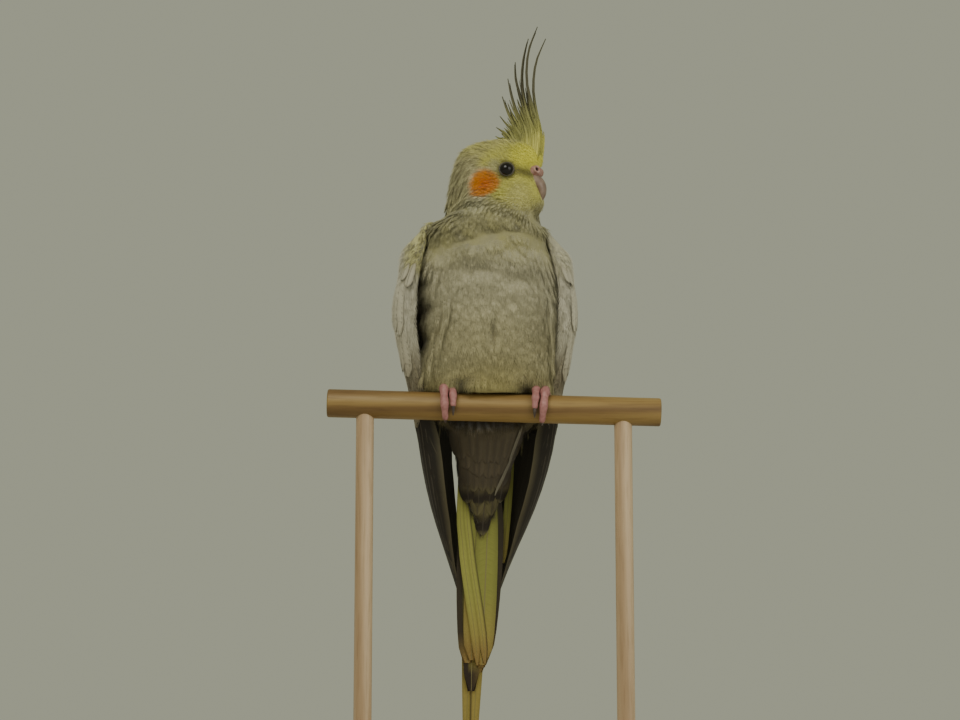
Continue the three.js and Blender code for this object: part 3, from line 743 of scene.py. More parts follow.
def scatter(mesh, spacing, seed, keep=None):
    """Roots spread evenly over a mesh at a spacing that may vary: points, normals and places on its map."""
    draw = np.random.default_rng(seed)
    mesh.calc_loop_triangles()
    corners = read(mesh.loop_triangles, "vertices", 3, np.int32)
    loops = read(mesh.loop_triangles, "loops", 3, np.int32)
    tri = read_points(mesh)[corners] / MM
    tri_normals = read(mesh.vertices, "normal", 3)[corners].astype(float)
    tri_map = read(mesh.uv_layers["OFBake"].uv, "vector", 2)[loops].astype(float)
    area = np.linalg.norm(np.cross(tri[:, 1] - tri[:, 0], tri[:, 2] - tri[:, 0]), axis=1) / 2
    weight = area / spacing(tri.mean(1) * MM) ** 2
    picks = draw.choice(len(tri), int(weight.sum() * OFFERED), p=weight / weight.sum())
    share = draw.dirichlet((1, 1, 1), len(picks))[..., None]
    points, normals, places = ((each[picks] * share).sum(1) for each in (tri, tri_normals, tri_map))
    normals /= np.linalg.norm(normals, axis=1)[:, None]
    if keep:
        wanted = keep(points * MM, normals)
        points, normals, places = points[wanted], normals[wanted], places[wanted]
    near = spacing(points * MM)
    tree = tree_of(points)
    free = np.ones(len(points), bool)
    kept = []
    for i, point in enumerate(points):
        if free[i]:
            kept.append(i)
            for _, neighbour, _ in tree.find_range(point, near[i]):
                free[neighbour] = False
    return points[kept] * MM, normals[kept], places[kept]


def tiled(template, roots, normals, way, length, half, lift):
    """Copies of a template laid from their roots along the way, rising to the lift at their tips."""
    across, along, layer = template.T
    way = way - normals * (way * normals).sum(1)[:, None]
    way /= np.linalg.norm(way, axis=1)[:, None]
    beside = np.cross(way, normals)
    rise = lift[:, None] * (along * (1 + PLUME_CURVE) - PLUME_CURVE * along**2)
    out = rise - 0.1 * (half[:, None] * across**2) + PLUME_THICKNESS * layer - PLUME_SINK
    return roots[:, None] + MM * (
        way[:, None] * (length[:, None] * along)[..., None]
        + beside[:, None] * (half[:, None] * across)[..., None]
        + normals[:, None] * out[..., None]
    )


def facing(points):
    """How far points lie from the bill, and how far they are on the head, from 0 to 1."""
    place = to_head(points)
    return np.linalg.norm(place - (0, -18, -4), axis=1), smooth(82, 92, points[:, 2] - 0.2 * place[:, 1])


def coat_way(points):
    """The lie of the coat at points of the bird's frame: away from the bill, then down the body."""
    place = to_head(points)
    from_bill = (place - (0, -23, -8)) @ head_axes.T
    from_bill /= np.linalg.norm(from_bill, axis=1)[:, None]
    back = np.where(points[:, 2] < 60, 0.28, 0.1)
    down = np.stack([0 * back, back, np.full(len(points), -1)], 1)
    rear = smooth(-2, 14, place[:, 1])
    low_rear = rear * smooth(14, 2, place[:, 2])
    on_head = smooth(80, 94, points[:, 2] - 0.25 * place[:, 1]) * (1 - 0.75 * low_rear)
    swirl = np.stack([soft_noise(points, 22, seed) for seed in (7, 8, 9)], 1)
    return from_bill * on_head[:, None] + down * (1 - on_head)[:, None] + 0.09 * swirl


def coat_spacing(points):
    """How far apart the roots are: closest at the bill, farthest on the body."""
    points = to_bird(points)
    from_bill, on_head = facing(points)
    return 1.22 - 0.12 * smooth(62, 72, points[:, 2]) - on_head * (0.4 + 0.16 * smooth(16, 6, from_bill))


def closed_form(*names):
    """Nodes of the frame as one form that gaps can be measured to."""
    points, faces = [], []
    for name in names:
        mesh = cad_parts[name].data
        faces += [[len(points) + i for i in face.vertices] for face in mesh.polygons]
        points += [v.co for v in mesh.vertices]
    return BVHTree.FromPolygons(points, faces)


def gap_to(form, points):
    """How far points lie outside a closed form, in metres, less than 0 inside it."""
    gaps = np.empty(len(points))
    for i, point in enumerate(points):
        spot, normal, _, distance = form.find_nearest(Vector(point))
        gaps[i] = math.copysign(distance, (Vector(point) - spot).dot(normal))
    return gaps


bill_solids = closed_form("cere", "bill_upper", "bill_lower")
wing_solids = closed_form("wing_left", "wing_right")


def coat_keep(points, normals):
    """Whether a feather grows at each point: not on bare skin, under the bill or a wing, or at the dowel."""
    place = to_head(to_bird(points))
    off_eye = np.hypot(place[:, 1] - EYE_AT[1], place[:, 2] - EYE_AT[2])
    bare = (off_eye < BARE_ROUND_EYE) & (np.abs(place[:, 0]) > 8)
    off_nostril = np.linalg.norm(np.abs(place * (1, 1, 0)) + place * (0, 0, 1) - (3.8, 19, 0.2), axis=1)
    bare |= (off_nostril < BARE_ROUND_NOSTRIL) & (place[:, 1] < 0)
    clear = gap_to(bill_solids, points + normals * 0.0003) > 0.0004
    under_wing = gap_to(wing_solids, points + normals * 0.0012) < -0.0008
    _, back, up = to_roost(points).T
    at_dowel = (back < 3) & (up < PERCH_RADIUS + 1.8) & (up > -9)
    return clear & ~bare & ~under_wing & ~at_dowel


roots, root_normals, root_places = scatter(skin_mesh, coat_spacing, 11, coat_keep)
at = to_bird(roots)
height = at[:, 2]
from_bill, on_head = facing(at)
off_head = 1 - on_head
on_nape = smooth(2, 16, to_head(at)[:, 1]) * smooth(2, -12, to_head(at)[:, 2]) * (height > 74)
beside_wing = smooth(0.005, 0.0005, gap_to(wing_solids, roots)) * off_head * smooth(-4, 10, height)
flank = smooth(15, 22, at[:, 0]) * smooth(4, 16, height) * smooth(74, 60, height) * smooth(2, -8, at[:, 1])
draw = np.random.default_rng(12)
# Lengths and half widths: short and narrow at the bill, longest at the nape, the flank and beside the wings,
# and short enough over the dowel to end above it.
head_length = 1.4 + 2.5 * smooth(4, 30, from_bill)
body_length = 6.6 + 1.0 * smooth(50, 10, height) - 1.6 * smooth(68, 78, height)
length = (head_length * on_head + body_length * off_head) * draw.uniform(0.88, 1.14, len(at))
half = length * (0.24 + 0.06 * off_head + 0.06 * smooth(64, 74, height) * off_head)
length = length + 2 * on_nape * on_head
length = length * (1 + 0.5 * beside_wing)
over_dowel = (at[:, 1] < 8) & (height > 0)
length = np.where(over_dowel, np.clip(height - 6.4, 1.6, length), length)
length = length + 2 * flank
# How far the tips stand off the skin, and the way that the feathers lie.
lift = (0.75 + 0.35 * smooth(8, 20, from_bill)) * on_head + 0.9 * off_head
lift += 1.5 * beside_wing - 0.5 * smooth(62, 74, height) * off_head
lift += 1.2 * flank
lift += 0.45 * on_nape
lift *= draw.uniform(0.75, 1.25, len(at))
way = coat_way(at) @ bird_axes.T + draw.normal(0, 0.06, (len(at), 3))
# The colours are those of the place that the next feathers leave bare, darker with painted shade in the
# creases of the coat, lighter on the collar with painted light against its shade, and with soft blotches at
# the top of the breast that are partly painted crease shade.
shown = at + (way @ bird_axes) * (0.6 * length)[:, None]
tone = plumage(shown) * draw.uniform(0.95, 1.05, len(at))[:, None]
creases = [row for row in RUFFLES if row[2] < 0]
collar = (on_head > 0.5) & (from_bill >= FACE_REACH) & (height < COLLAR_HEIGHT)
# Painted shade in the creases, and painted light on the collar to lift the shade on its lower side.
tone *= (1 + 0.1 * collar + 0.34 * np.clip(ruffle(shown, creases), -1.3, 0))[:, None]
# Soft blotches at the top of the breast: partly the coat's own mottling, partly painted crease shade.
blotch_and_shade = np.sin(0.5 * shown[:, 0] + 0.2 * shown[:, 2]) * np.sin(0.62 * shown[:, 2] - 0.25 * shown[:, 0] + 0.8)
tone *= (1 + 0.13 * blotch_and_shade * smooth(60, 70, shown[:, 2]) * off_head)[:, None]
# A few feathers stand off the others, which softens the outline.
stray = draw.uniform(0, 1, len(at)) > 0.9
lift += stray * (0.8 * smooth(12, 20, from_bill) * on_head + 0.5 * smooth(58, 68, height) * off_head)
plume, plume_faces = plume_shape(BODY_BARBS, BODY_BARB_WIDTH)
wisp, wisp_faces = plume_shape(FACE_BARBS, FACE_BARB_WIDTH)
coat_material = plumage_material("body_feathers", 0.8, 0.25)


def coat_piece(name, points, template, faces, tone, places, slot):
    """One piece of the coat: darker at the roots, with a small patch of its colours for each feather."""
    # Painted shade at each feather's root, under the feathers that lie over it, together with the down's own
    # grey.
    shade = 0.88 + 0.14 * np.clip(template[:, 1], 0, 1)
    tints = tone * shade[:, None]
    patches = places[:, None] + PATCH / 2 * (template[:, :2] * (1, 2) - (0, 1))
    piece(name, repeated(name, faces, points, tints, "OFBake", patches), coat_material, slot)


def grow_coat(name, where, template, faces, slot):
    """The piece of the body's coat whose roots are there."""
    feathers = (each[where] for each in (roots, root_normals, way, length, half, lift))
    points = clear_of_perch(tiled(template, *feathers), PLUME_OFF_PERCH)
    coat_piece(name, points, template, faces, tone[where, None], root_places[where], slot)


on_face = (on_head > 0.5) & (from_bill < FACE_REACH)
on_body = on_head <= 0.5
front = at[:, 1] < body_middle(height)
# Each region takes what the ones before it have left.
regions = [
    ("coat_face", on_face, "face_plumage"),
    ("coat_crown", (on_head > 0.5) & ~on_face & (height >= COLLAR_HEIGHT), "face_plumage"),
    ("coat_collar", collar, "breast_plumage"),
    ("coat_neck", on_body & (height > 66), "breast_plumage"),
    ("coat_breast", on_body & front & (height > 38), "breast_plumage"),
    ("coat_belly", on_body & front & (height > 4), "breast_plumage"),
    ("coat_vent", on_body & front, "breast_plumage"),
    ("coat_back", on_body & (height > 22), "breast_plumage"),
    ("coat_rump", on_body, "breast_plumage"),
]
left_over = np.ones(len(at), bool)
for name, where, slot in regions:
    template, faces = (wisp, wisp_faces) if slot == "face_plumage" else (plume, plume_faces)
    grow_coat(name, where & left_over, template, faces, slot)
    left_over &= ~where

# Wings, folded against the body: flight feathers in one fan and rows of coverts over their roots, on a core
# of flesh. Each wing follows three lines, its leading edge, its outer face and its trailing edge.
WING_LINES = {
    "leading": [
        [26, -17, 74], [33.5, -22, 57], [34.5, -18, 40], [32.5, -5, 19], [28.5, 12, 1],
        [24.5, 21, -23], [19.5, 35, -46], [13.5, 51, -69], [6.5, 61, -91],
    ],
    "outer": [
        [30, -5, 79], [37.5, -4, 61], [40, 0, 45], [37, 8, 24], [32.5, 17, 4],
        [28, 28, -18], [21.8, 40.5, -42], [14, 54, -65], [6.5, 62.5, -90],
    ],
    "trailing": [
        [15, 9, 84], [11, 19, 66], [8, 26, 50], [8, 32, 30], [10.5, 38, 9],
        [12.6, 43, -13], [10.8, 50, -37], [8.2, 58, -62], [6, 63, -90],
    ],
}
WING_LEAN = [[-90, 1.2], [-50, 0.3], [-10, -0.6], [20, -3.4], [45, -5], [85, -4.6]]  # sideways, by height
WING_DEPTH = [[0, 3.5], [0.2, 7], [0.5, 6.5], [0.75, 4], [1, 1.2]]
CORE_START = -0.03
CORE_END = 0.58
NARROWEST = 4
BLUNT = [[0, 0.5], [0.3, 0.9], [0.65, 1], [0.85, 0.86], [0.95, 0.62], [1, 0.2]]
POINTED = [[0, 0.6], [0.3, 1], [0.6, 0.85], [0.86, 0.5], [1, 0.08]]
WING_WHITE = light(206, 201, 180)
WING_CREAM = light(220, 215, 152)
WING_GREY = light(150, 141, 124)
# The flight feathers' own dark brown, made darker still by painted shade for the shade that falls on them
# under the perch.
FLIGHT_DARK_AND_SHADE = light(42, 38, 31)
FLIGHT_BROWN_AND_SHADE = light(68, 61, 49)
FLIGHT_EDGE = light(140, 132, 100)
WING_BUFF = light(166, 158, 134)
PEARL_LINE = light(84, 74, 46)
FLIGHT_THICKNESS = 0.14
COVERT_THICKNESS = 0.07
DOWN_SPACING = 1.25
FLESH_SINK = 0.9  # how deep the flesh lies under the feathers
# Rows of feathers, from the wing's end to its shoulder. roots and tips are places along the wing, and start
# and end are places across it, each for the feather nearest the leading edge and for the last one.
TIERS = {
    "primaries": dict(
        count=11, roots=(0.42, 0.42), tips=(1.0, 0.9), start=(-0.93, 0.85), end=(-0.78, 0.85), half=4.8,
        lift=-1.3, rise=0.13, outline=POINTED,
    ),
    "secondaries": dict(
        count=10, roots=(0.32, 0.3), tips=(0.5, 0.66), start=(-0.7, 0.6), end=(-0.6, 0.6), half=4.6,
        lift=-0.9, rise=0.05, outline=BLUNT,
    ),
    "tertials": dict(
        count=4, roots=(0.24, 0.24), tips=(0.5, 0.6), start=(0.55, 0.9), end=(0.42, 0.8), half=5.6,
        lift=-0.4, rise=0.3, outline=BLUNT,
    ),
    "greater_coverts": dict(
        count=12, roots=(0.22, 0.18), tips=(0.41, 0.38), start=(-0.62, 0.88), end=(-0.6, 0.84), half=4.0,
        lift=-0.3, rise=0, outline=BLUNT,
    ),
    "oval_coverts": dict(
        count=2, roots=(0.09, 0.09), tips=(0.165, 0.158), start=(-0.88, -0.68), end=(-0.9, -0.7), half=2.5,
        lift=0.0, rise=0, outline=BLUNT,
    ),
    "median_coverts": dict(
        count=12, roots=(0.13, 0.12), tips=(0.3, 0.28), start=(-0.62, 0.88), end=(-0.62, 0.88), half=3.7,
        lift=-0.1, rise=0, outline=BLUNT,
    ),
}
ROOT_HEIGHT = -1.5
FAN_BULGE = 2.4  # how far the long feathers bow out halfway down
SHOULDER_BULGE = 2.8
WING_LENGTH = 185


def closed_vane(columns, rows):
    """A flat vane from -1 to 1 across and 0 to 1 along, as a thin closed lens of two layers."""
    shape = bmesh.new()
    bmesh.ops.create_grid(shape, x_segments=columns, y_segments=rows, size=1)
    upper = shape.verts[:]
    under = bmesh.ops.duplicate(shape, geom=shape.verts[:] + shape.edges[:] + shape.faces[:])["geom"]
    for layer, verts in ((1, upper), (-1, [v for v in under if isinstance(v, bmesh.types.BMVert)])):
        for vert in verts:
            inside = max(abs(vert.co.x), abs(vert.co.y)) < 0.99
            vert.co = (vert.co.x, (vert.co.y + 1) / 2, layer if inside else 0)
    bmesh.ops.reverse_faces(shape, faces=[f for f in under if isinstance(f, bmesh.types.BMFace)])
    bmesh.ops.remove_doubles(shape, verts=shape.verts, dist=0.0001)
    return shape


def guide(points, s):
    """A smooth curve through the points, at places from 0 to 1 along it."""
    points = np.asarray(points, float)
    points = np.vstack([2 * points[0] - points[1], points, 2 * points[-1] - points[-2]])
    spot = np.clip(s, -0.12, 1) * (len(points) - 3)
    i = np.clip(spot.astype(int), 0, len(points) - 4)
    w = (spot - i)[..., None]
    a, b, c, d = (points[i + k] for k in range(4))
    gap = [
        np.maximum(np.linalg.norm(q - p, axis=-1, keepdims=True) ** 0.5, 1e-4)
        for p, q in ((a, b), (b, c), (c, d))
    ]
    slope = ((b - a) / gap[0] - (c - a) / (gap[0] + gap[1]) + (c - b) / gap[1]) * gap[1]
    slope_end = ((c - b) / gap[1] - (d - b) / (gap[1] + gap[2]) + (d - c) / gap[2]) * gap[1]
    bend = (3 * (c - b) - 2 * slope - slope_end) * w**2
    return b + slope * w + bend + (2 * (b - c) + slope + slope_end) * w**3


def wing_face(s, q):
    """The wing's outer face: s runs along it and q across it, from -1 at the leading edge to 1."""
    q = q[..., None]
    lead, outer, trail = (guide(WING_LINES[line], s) for line in ("leading", "outer", "trailing"))
    return lead * (q * q - q) / 2 + outer * (1 - q * q) + trail * (q * q + q) / 2


def wing_point(side, s, q, height):
    """Points at a height over the outer face of the wing on one side, in the model's frame."""
    step = 0.02
    down = wing_face(s + step, q) - wing_face(s - step, q)
    back = wing_face(s, q + step) - wing_face(s, q - step)
    out = np.cross(down, back)
    out /= np.linalg.norm(out, axis=-1)[..., None]
    shoulder = SHOULDER_BULGE * np.exp(-(((s - 0.055) / 0.055) ** 2) - ((q + 0.1) / 0.7) ** 2)
    points = wing_face(s, q) + out * (np.asarray(height) + shoulder)[..., None]
    lean = stepped(WING_LEAN, points[..., 2])[0]
    return from_bird(points * (side, 1, 1) + lean[..., None] * (1, 0, 0))


def between(ends, share):
    return ends[0] + (ends[1] - ends[0]) * share


def rolled(ball, blunt):
    """Points of a unit ball as places from 0 to 1 along an axis, and round it on a unit circle."""
    ring = np.clip(1 - np.abs(ball[:, 2]) ** blunt, 0, 1) ** (1 / blunt)
    level = np.maximum(np.hypot(ball[:, 0], ball[:, 1]), 1e-6)
    return (1 + ball[:, 2]) / 2, ring * ball[:, 0] / level, ring * ball[:, 1] / level


def wing_core(ball, side):
    """The wing's flesh, under its feathers."""
    along, across, out = rolled(ball * (1, 1, -1), 4)
    depth = np.maximum(stepped(WING_DEPTH, along)[0] / 2 - 0.5, 0.3)
    full = np.sign(out) * np.abs(out) ** 0.65 - 1
    return wing_point(side, between((CORE_START, CORE_END), along), across * 0.97, full * depth - FLESH_SINK)


def on_wing(side, points):
    """Places along and across the wing that are nearest to points, and the way outward there."""
    grid = np.meshgrid(np.linspace(CORE_START, CORE_END, 120), np.linspace(-1, 1, 60), indexing="ij")
    s, q = (each.ravel() for each in grid)
    face = wing_point(side, s, q, np.full(len(s), -2))
    tree = tree_of(face)
    near = [tree.find(point)[1] for point in points]
    out = wing_point(side, s[near], q[near], np.zeros(len(near))) - face[near]
    return s[near], q[near], out / np.linalg.norm(out, axis=1)[:, None]


def wing_plumage(side, s, q):
    """The colours of the wing's small feathers: a yellowish scalloped shoulder and a white band in front."""
    row = s * WING_LENGTH / 5.2 + 0.3 * np.sin(q * 9)
    place_in_row = (q * 4.2 + np.floor(row) * 0.5) % 1 * 2 - 1
    scallop = row % 1 + 0.4 * place_in_row**2
    line = smooth(0.74, 0.82, scallop) * smooth(1.1, 0.96, scallop)
    pearled = laid(WING_CREAM, PEARL_LINE, line * (0.45 + 0.4 * smooth(-0.2, -0.6, q)))
    grey = laid(laid(WING_GREY, WING_CREAM, 0.5 * smooth(0.3, 0.8, scallop)), PEARL_LINE, 0.6 * line)
    white = laid(WING_WHITE, WING_BUFF, smooth(0.33, 0.4, s + 0.02 * np.sin(q * 40)))
    colour = laid(grey, white, smooth(0.25, -0.05, q))
    spots = np.sin(q * 46 + s * 120) * np.sin(s * 210 - q * 17)
    pearled = laid(pearled, PEARL_LINE, 0.9 * smooth(0.3, 0.7, spots))
    at_front = smooth(-0.5, -0.72, q - 0.4 * smooth(0.1, 0.02, s)) * (1 if side < 0 else 0.25)
    shoulder = smooth(0.14, 0.1, s) * np.maximum(at_front, smooth(-0.3, 0.1, q))
    colour = laid(colour, pearled, shoulder)
    return laid(colour, FLIGHT_DARK_AND_SHADE, smooth(0.41, 0.45, s - 0.05 * smooth(-0.9, -0.6, q)))


def wing_tint(tier, s, q, across, along, draw):
    """The colours of one long wing feather at its points."""
    if tier == "primaries":
        edge = smooth(-0.84, -0.94, across) * smooth(0.97, 0.8, along) * 0.4
        inner = laid(FLIGHT_DARK_AND_SHADE, FLIGHT_BROWN_AND_SHADE, smooth(0.2, 0.9, across) * 0.35)
        return laid(inner, FLIGHT_EDGE, edge)
    if tier == "oval_coverts":
        rim = np.maximum(smooth(0.7, 0.95, np.abs(across)), smooth(0.88, 1, along))
        base = laid(WING_WHITE, WING_BUFF, 0.3 + 0.4 * smooth(0.5, 0.1, along))
        return laid(base, PEARL_LINE, 0.2 * rim)
    grey = laid(WING_GREY, WING_CREAM, 0.45 * smooth(0.5, 0.95, np.abs(across)) * smooth(0.2, 0.5, along))
    grey = laid(grey, WING_CREAM, 0.45 * smooth(0.84, 0.97, along))
    if tier in ("secondaries", "tertials"):
        grey = laid(grey, FLIGHT_BROWN_AND_SHADE, 0.4)
        return laid(grey, laid(WING_BUFF, FLIGHT_BROWN_AND_SHADE, smooth(0.3, 0.9, across)), smooth(0.1, -0.3, q))
    white = laid(WING_WHITE, WING_BUFF, 0.5 * smooth(0.3, 0, along) + 0.6 * smooth(0.33, 0.43, s))
    return laid(grey, white, smooth(0.2, -0.05, q)) * draw.uniform(0.94, 1.03)


def vane_material(name, roughness, sheen, shaft, barb_depth=0.5):
    """Firm feathers in the piece's own tints, with barbs that slant from a shaft."""
    material, shader = finish_material(name, roughness, Sheen_Weight=sheen, Specular_IOR_Level=0.35)

    def sum_of(operation, *values):
        return node(material, "Math", dict(enumerate(values)), operation=operation).outputs["Value"]

    place = node(material, "UVMap", uv_map="vane").outputs["UV"]
    split = node(material, "SeparateXYZ", {"Vector": place}).outputs
    off_shaft = sum_of("ABSOLUTE", sum_of("SUBTRACT", split["X"], 0.5))
    slant = sum_of("MULTIPLY_ADD", off_shaft, -0.5, split["Y"])
    along_barb = node(material, "CombineXYZ", {"X": slant, "Y": off_shaft}).outputs["Vector"]
    scaled = node(material, "Mapping", {"Vector": along_barb, "Scale": (34, 2.5, 1)}).outputs["Vector"]
    barbs = noise(material, scaled, 1.0, 3.0)
    shade = ramp(material, barbs, [(0.3, (0.8, 0.79, 0.78)), (0.65, (1, 1, 1))])
    colour = shaded(material, 0.85, painted(material), shade)
    edges = {"Value": off_shaft, "From Min": 0.035, "From Max": 0.012}
    on_shaft = node(material, "MapRange", edges).outputs["Result"]
    both = {"Factor": on_shaft, "A": colour, "B": (*shaft, 1)}
    connect(material, node(material, "Mix", both, data_type="RGBA").outputs["Result"], shader, "Base Color")
    bumped(material, shader, sum_of("ADD", on_shaft, barbs), barb_depth, 0.0002)
    return material


def vane_map(x, along, length):
    """The map of a feather's material: across its vane and, in centimetres, down its length."""
    return np.stack([x / 2 + 0.5, along * length / 10], 1)


def feather_piece(name, feathers, faces, material, slot, *nodes, sharp=50):
    """A piece of feathers, each given as its points, its colours and its map."""
    points, tints, maps = (np.stack(each) for each in zip(*feathers))
    piece(name, repeated(name, faces, points, tints, "vane", maps, sharp), material, slot, *nodes)


def wing_feather(side, tier, i, draw, vane):
    """The points, colours and map of one feather of a row."""
    row = TIERS[tier]
    share = i / (row["count"] - 1)
    x, along, layer = vane.T
    ragged = 1 + 0.05 * np.sin(along * 37 + i * 2.3) * smooth(0.3, 0.8, along)
    outline = stepped(row["outline"], np.minimum(along, 0.97))[0] * ragged
    firm = tier == "primaries"
    jitter = draw.normal(0, 0.004 if firm else 0.008, 3) * (1, 0 if firm else 1, 3)
    root = between(row["roots"], share) + jitter[0]
    tip = between(row["tips"], share) + jitter[1]
    s = root + (tip - root) * along
    start, end = between(row["start"], share), between(row["end"], share) + jitter[2]
    q = start + (end - start) * along
    stretch = np.linalg.norm(wing_face(s, q + 0.05) - wing_face(s, q - 0.05), axis=1) / 0.1
    aside = x * outline * row["half"] / np.maximum(stretch, NARROWEST)
    tilt = 0 if firm else 0.3
    rise = row["lift"] + row["rise"] * i - ROOT_HEIGHT
    height = ROOT_HEIGHT + rise * np.maximum(along, 0) ** 0.7 - x * outline * tilt - 0.3 * (x * outline) ** 2
    height = height + FAN_BULGE * np.exp(-(((s - 0.66) / 0.17) ** 2))
    height = height + layer * (FLIGHT_THICKNESS if firm else COVERT_THICKNESS)
    points = wing_point(side, s, q + aside, height)
    tint = wing_tint(tier, s, q + aside, x, along, draw)
    if not firm:
        tint = laid(tint, FLIGHT_DARK_AND_SHADE, 0.9 * (layer < 0))
    return points, tint, vane_map(x, along, np.linalg.norm(np.ptp(points, axis=0)) / MM)


def grow_vanes(name, side, tiers, vane, faces):
    """One piece of a wing's long feathers, with the rows that are named."""
    draw = np.random.default_rng(40 + side)
    feathers = [
        wing_feather(side, tier, i, draw, vane) for tier in tiers for i in range(TIERS[tier]["count"])
    ]
    outward = faces if side > 0 else faces[:, ::-1]
    wing = "wing_left" if side > 0 else "wing_right"
    feather_piece(name, feathers, outward, flight_material, "wing_plumage", wing)


def grow_wing_down(name, side, flesh):
    """A wing's small feathers, rooted in its flesh: those outside, and streaked ones next to the body."""
    roots, normals, places = scatter(flesh, lambda points: np.full(len(points), DOWN_SPACING), 30 + side)
    s, q, outward = on_wing(side, roots)
    edge = -0.15 - 0.6 * smooth(-0.6, -0.9, q) - 0.8 * smooth(0.14, 0.06, s)
    outer = (normals * outward).sum(1) > edge
    shown = np.where(outer, (s < 0.23 + 0.03 * q) | (q < -0.3), q < 0.8) & (s < 0.41)
    s, q, outer, roots, normals, places = (each[shown] for each in (s, q, outer, roots, normals, places))
    count = len(s)
    draw = np.random.default_rng(33 + side)
    way = wing_point(side, s + 0.02, q, np.zeros(count)) - wing_point(side, s - 0.02, q, np.zeros(count))
    way = way / MM / 7 + draw.normal(0, 0.06, (count, 3))
    at_top = smooth(0.03, -0.01, s)
    length = np.where(outer, 6.5 + 4 * smooth(0.05, 0.3, s), 11 - 6 * smooth(0.3, 0.46, s))
    length = length * draw.uniform(0.88, 1.12, count) * (1 - 0.5 * at_top)
    half = np.where(outer, 1.9 + 0.6 * smooth(0.05, 0.3, s), 1.7)
    lift = np.where(outer, 0.5 - 0.1 * smooth(0.1, 0.3, s), 1.0) * draw.uniform(0.7, 1.3, count)
    points = tiled(plume, roots, normals, way, length, half, lift * (1 - 0.7 * at_top))
    along = s[:, None] + plume[:, 1] * length[:, None] / WING_LENGTH
    across = q[:, None] + plume[:, 0] * (half * side / 22)[:, None]
    # The streaked feathers next to the body are dark brown with paler streaks: partly their own colour,
    # partly painted shade of the gap between wing and body.
    streak = draw.uniform(0, 1, count)[:, None] ** 2
    streaked = laid(FLIGHT_BROWN_AND_SHADE, WING_GREY, 0.3 + 0.7 * streak)
    streaked = laid(streaked, WING_WHITE, smooth(0.6, 0.9, streak) * 0.9)
    streaked = laid(streaked, FLIGHT_DARK_AND_SHADE, smooth(0.38, 0.48, s)[:, None])
    tone = np.where(outer[:, None, None], wing_plumage(side, along, across), streaked)
    tone = tone * draw.uniform(0.94, 1.05, (count, 1, 1))
    coat_piece(name, points, plume, plume_faces, tone, places, "wing_plumage")


# The firm blade of the long feathers, and a softer one for the coverts, with loose barbs along its edges and
# its end.
blade, blade_faces = as_arrays(closed_vane(4, 12))
shape = closed_vane(4, 8)
for k in range(12):
    for side in (-1, 1):
        add_barb(shape, (0.8 * side, 0.06 + 0.07 * k), (1.1 * side, 0.2 + 0.07 * k), 0.1)
for k in range(-3, 4):
    add_barb(shape, (k * 0.27, 0.82), (k * 0.31, 1.06 - 0.012 * k**2), 0.12)
soft_blade, soft_faces = as_arrays(shape)
flight_material = vane_material("wing_feathers", 0.65, 0.1, (0.07, 0.058, 0.044))
flesh_material = plumage_material("wing_down", 0.85, 0.2)
covert_tiers = [tier for tier in TIERS if tier != "primaries"]
for side, name in ((1, "left"), (-1, "right")):
    flesh = rounded("wing_flesh_" + name, (40, 40, wing_core, side))
    s, q, _ = on_wing(side, read_points(flesh))
    paint(flesh, wing_plumage(side, s, q) * SKIN_SHADE)
    unwrap(piece("wing_flesh_" + name, flesh, flesh_material, "wing_plumage"))
    grow_wing_down("wing_down_" + name, side, flesh)
    grow_vanes("flight_feathers_" + name, side, ["primaries"], blade, blade_faces)
    grow_vanes("coverts_" + name, side, covert_tiers, soft_blade, soft_faces)

# Tail: thirteen narrow feathers in layers, the longest pair in the middle and at the back.
TAIL_ROOT = np.array([0.2, 36, -22])
TAIL_TIP = np.array([1.2, 80, -168])
TAIL_LAYER = 0.32
TAIL_THICKNESS = 0.13
# Each feather, from the back to the underside: its side, its tip, its half width, how far aside it lies at
# its root, at a third of its length and at its tip, and its markings.
TAIL_FEATHERS = [
    (-1, 1, 3.4, (1.4, 4.0, 3.1), "plain"),
    (1, 1, 3.4, (1.4, 1.0, -0.2), "plain"),
    (1, 0.3, 1.8, (13.4, 12.9, 11.2), "short"),
    (-1, 0.66, 4.6, (2, 3.4, 2.2), "dark_edge"),
    (1, 0.64, 4.6, (2, 3.2, 1.4), "dark_edge"),
    (-1, 0.7, 4.4, (3, 4.0, 2.0), "dark_tip"),
    (1, 0.625, 4.9, (3.4, 4.6, 2.2), "dark_edge"),
    (-1, 0.61, 5.1, (4.6, 6.2, 4.4), "dark_edge"),
    (1, 0.6, 5.1, (5, 6.0, 3.6), "dark_edge"),
    (-1, 0.6, 4.6, (2.4, 2.4, 2.6), "ochre"),
    (1, 0.615, 5.6, (2.6, 2.8, 2.4), "plain"),
    (-1, 0.61, 2.2, (7.6, 6.0, -3.8), "seamed"),
    (-1, 0.615, 2.1, (10.6, 9.2, -0.2), "smooth_edge"),
]
TAIL_OUTLINE = [[0, 0.55], [0.3, 0.9], [0.65, 1], [0.88, 0.9], [0.96, 0.68], [1, 0.36]]
TAIL_YELLOW = light(148, 151, 74)
TAIL_PALE = light(170, 171, 86)
TAIL_OCHRE = light(170, 156, 84)
TAIL_DARK = light(52, 42, 36)
TAIL_RUST = light(138, 96, 62)
tail_length = np.linalg.norm(TAIL_TIP - TAIL_ROOT)
tail_down = (TAIL_TIP - TAIL_ROOT) / tail_length
tail_back = np.cross((1, 0, 0), tail_down)
tail_back /= np.linalg.norm(tail_back)
tail_axes = np.stack([np.cross(tail_down, tail_back), tail_down, tail_back])


def tail_point(aside, along, height):
    """Points in the tail's frame: aside, down its length from 0 to 1, and towards its back."""
    local = np.stack(np.broadcast_arrays(aside, along * tail_length, height), -1)
    return from_bird(local @ tail_axes + TAIL_ROOT)


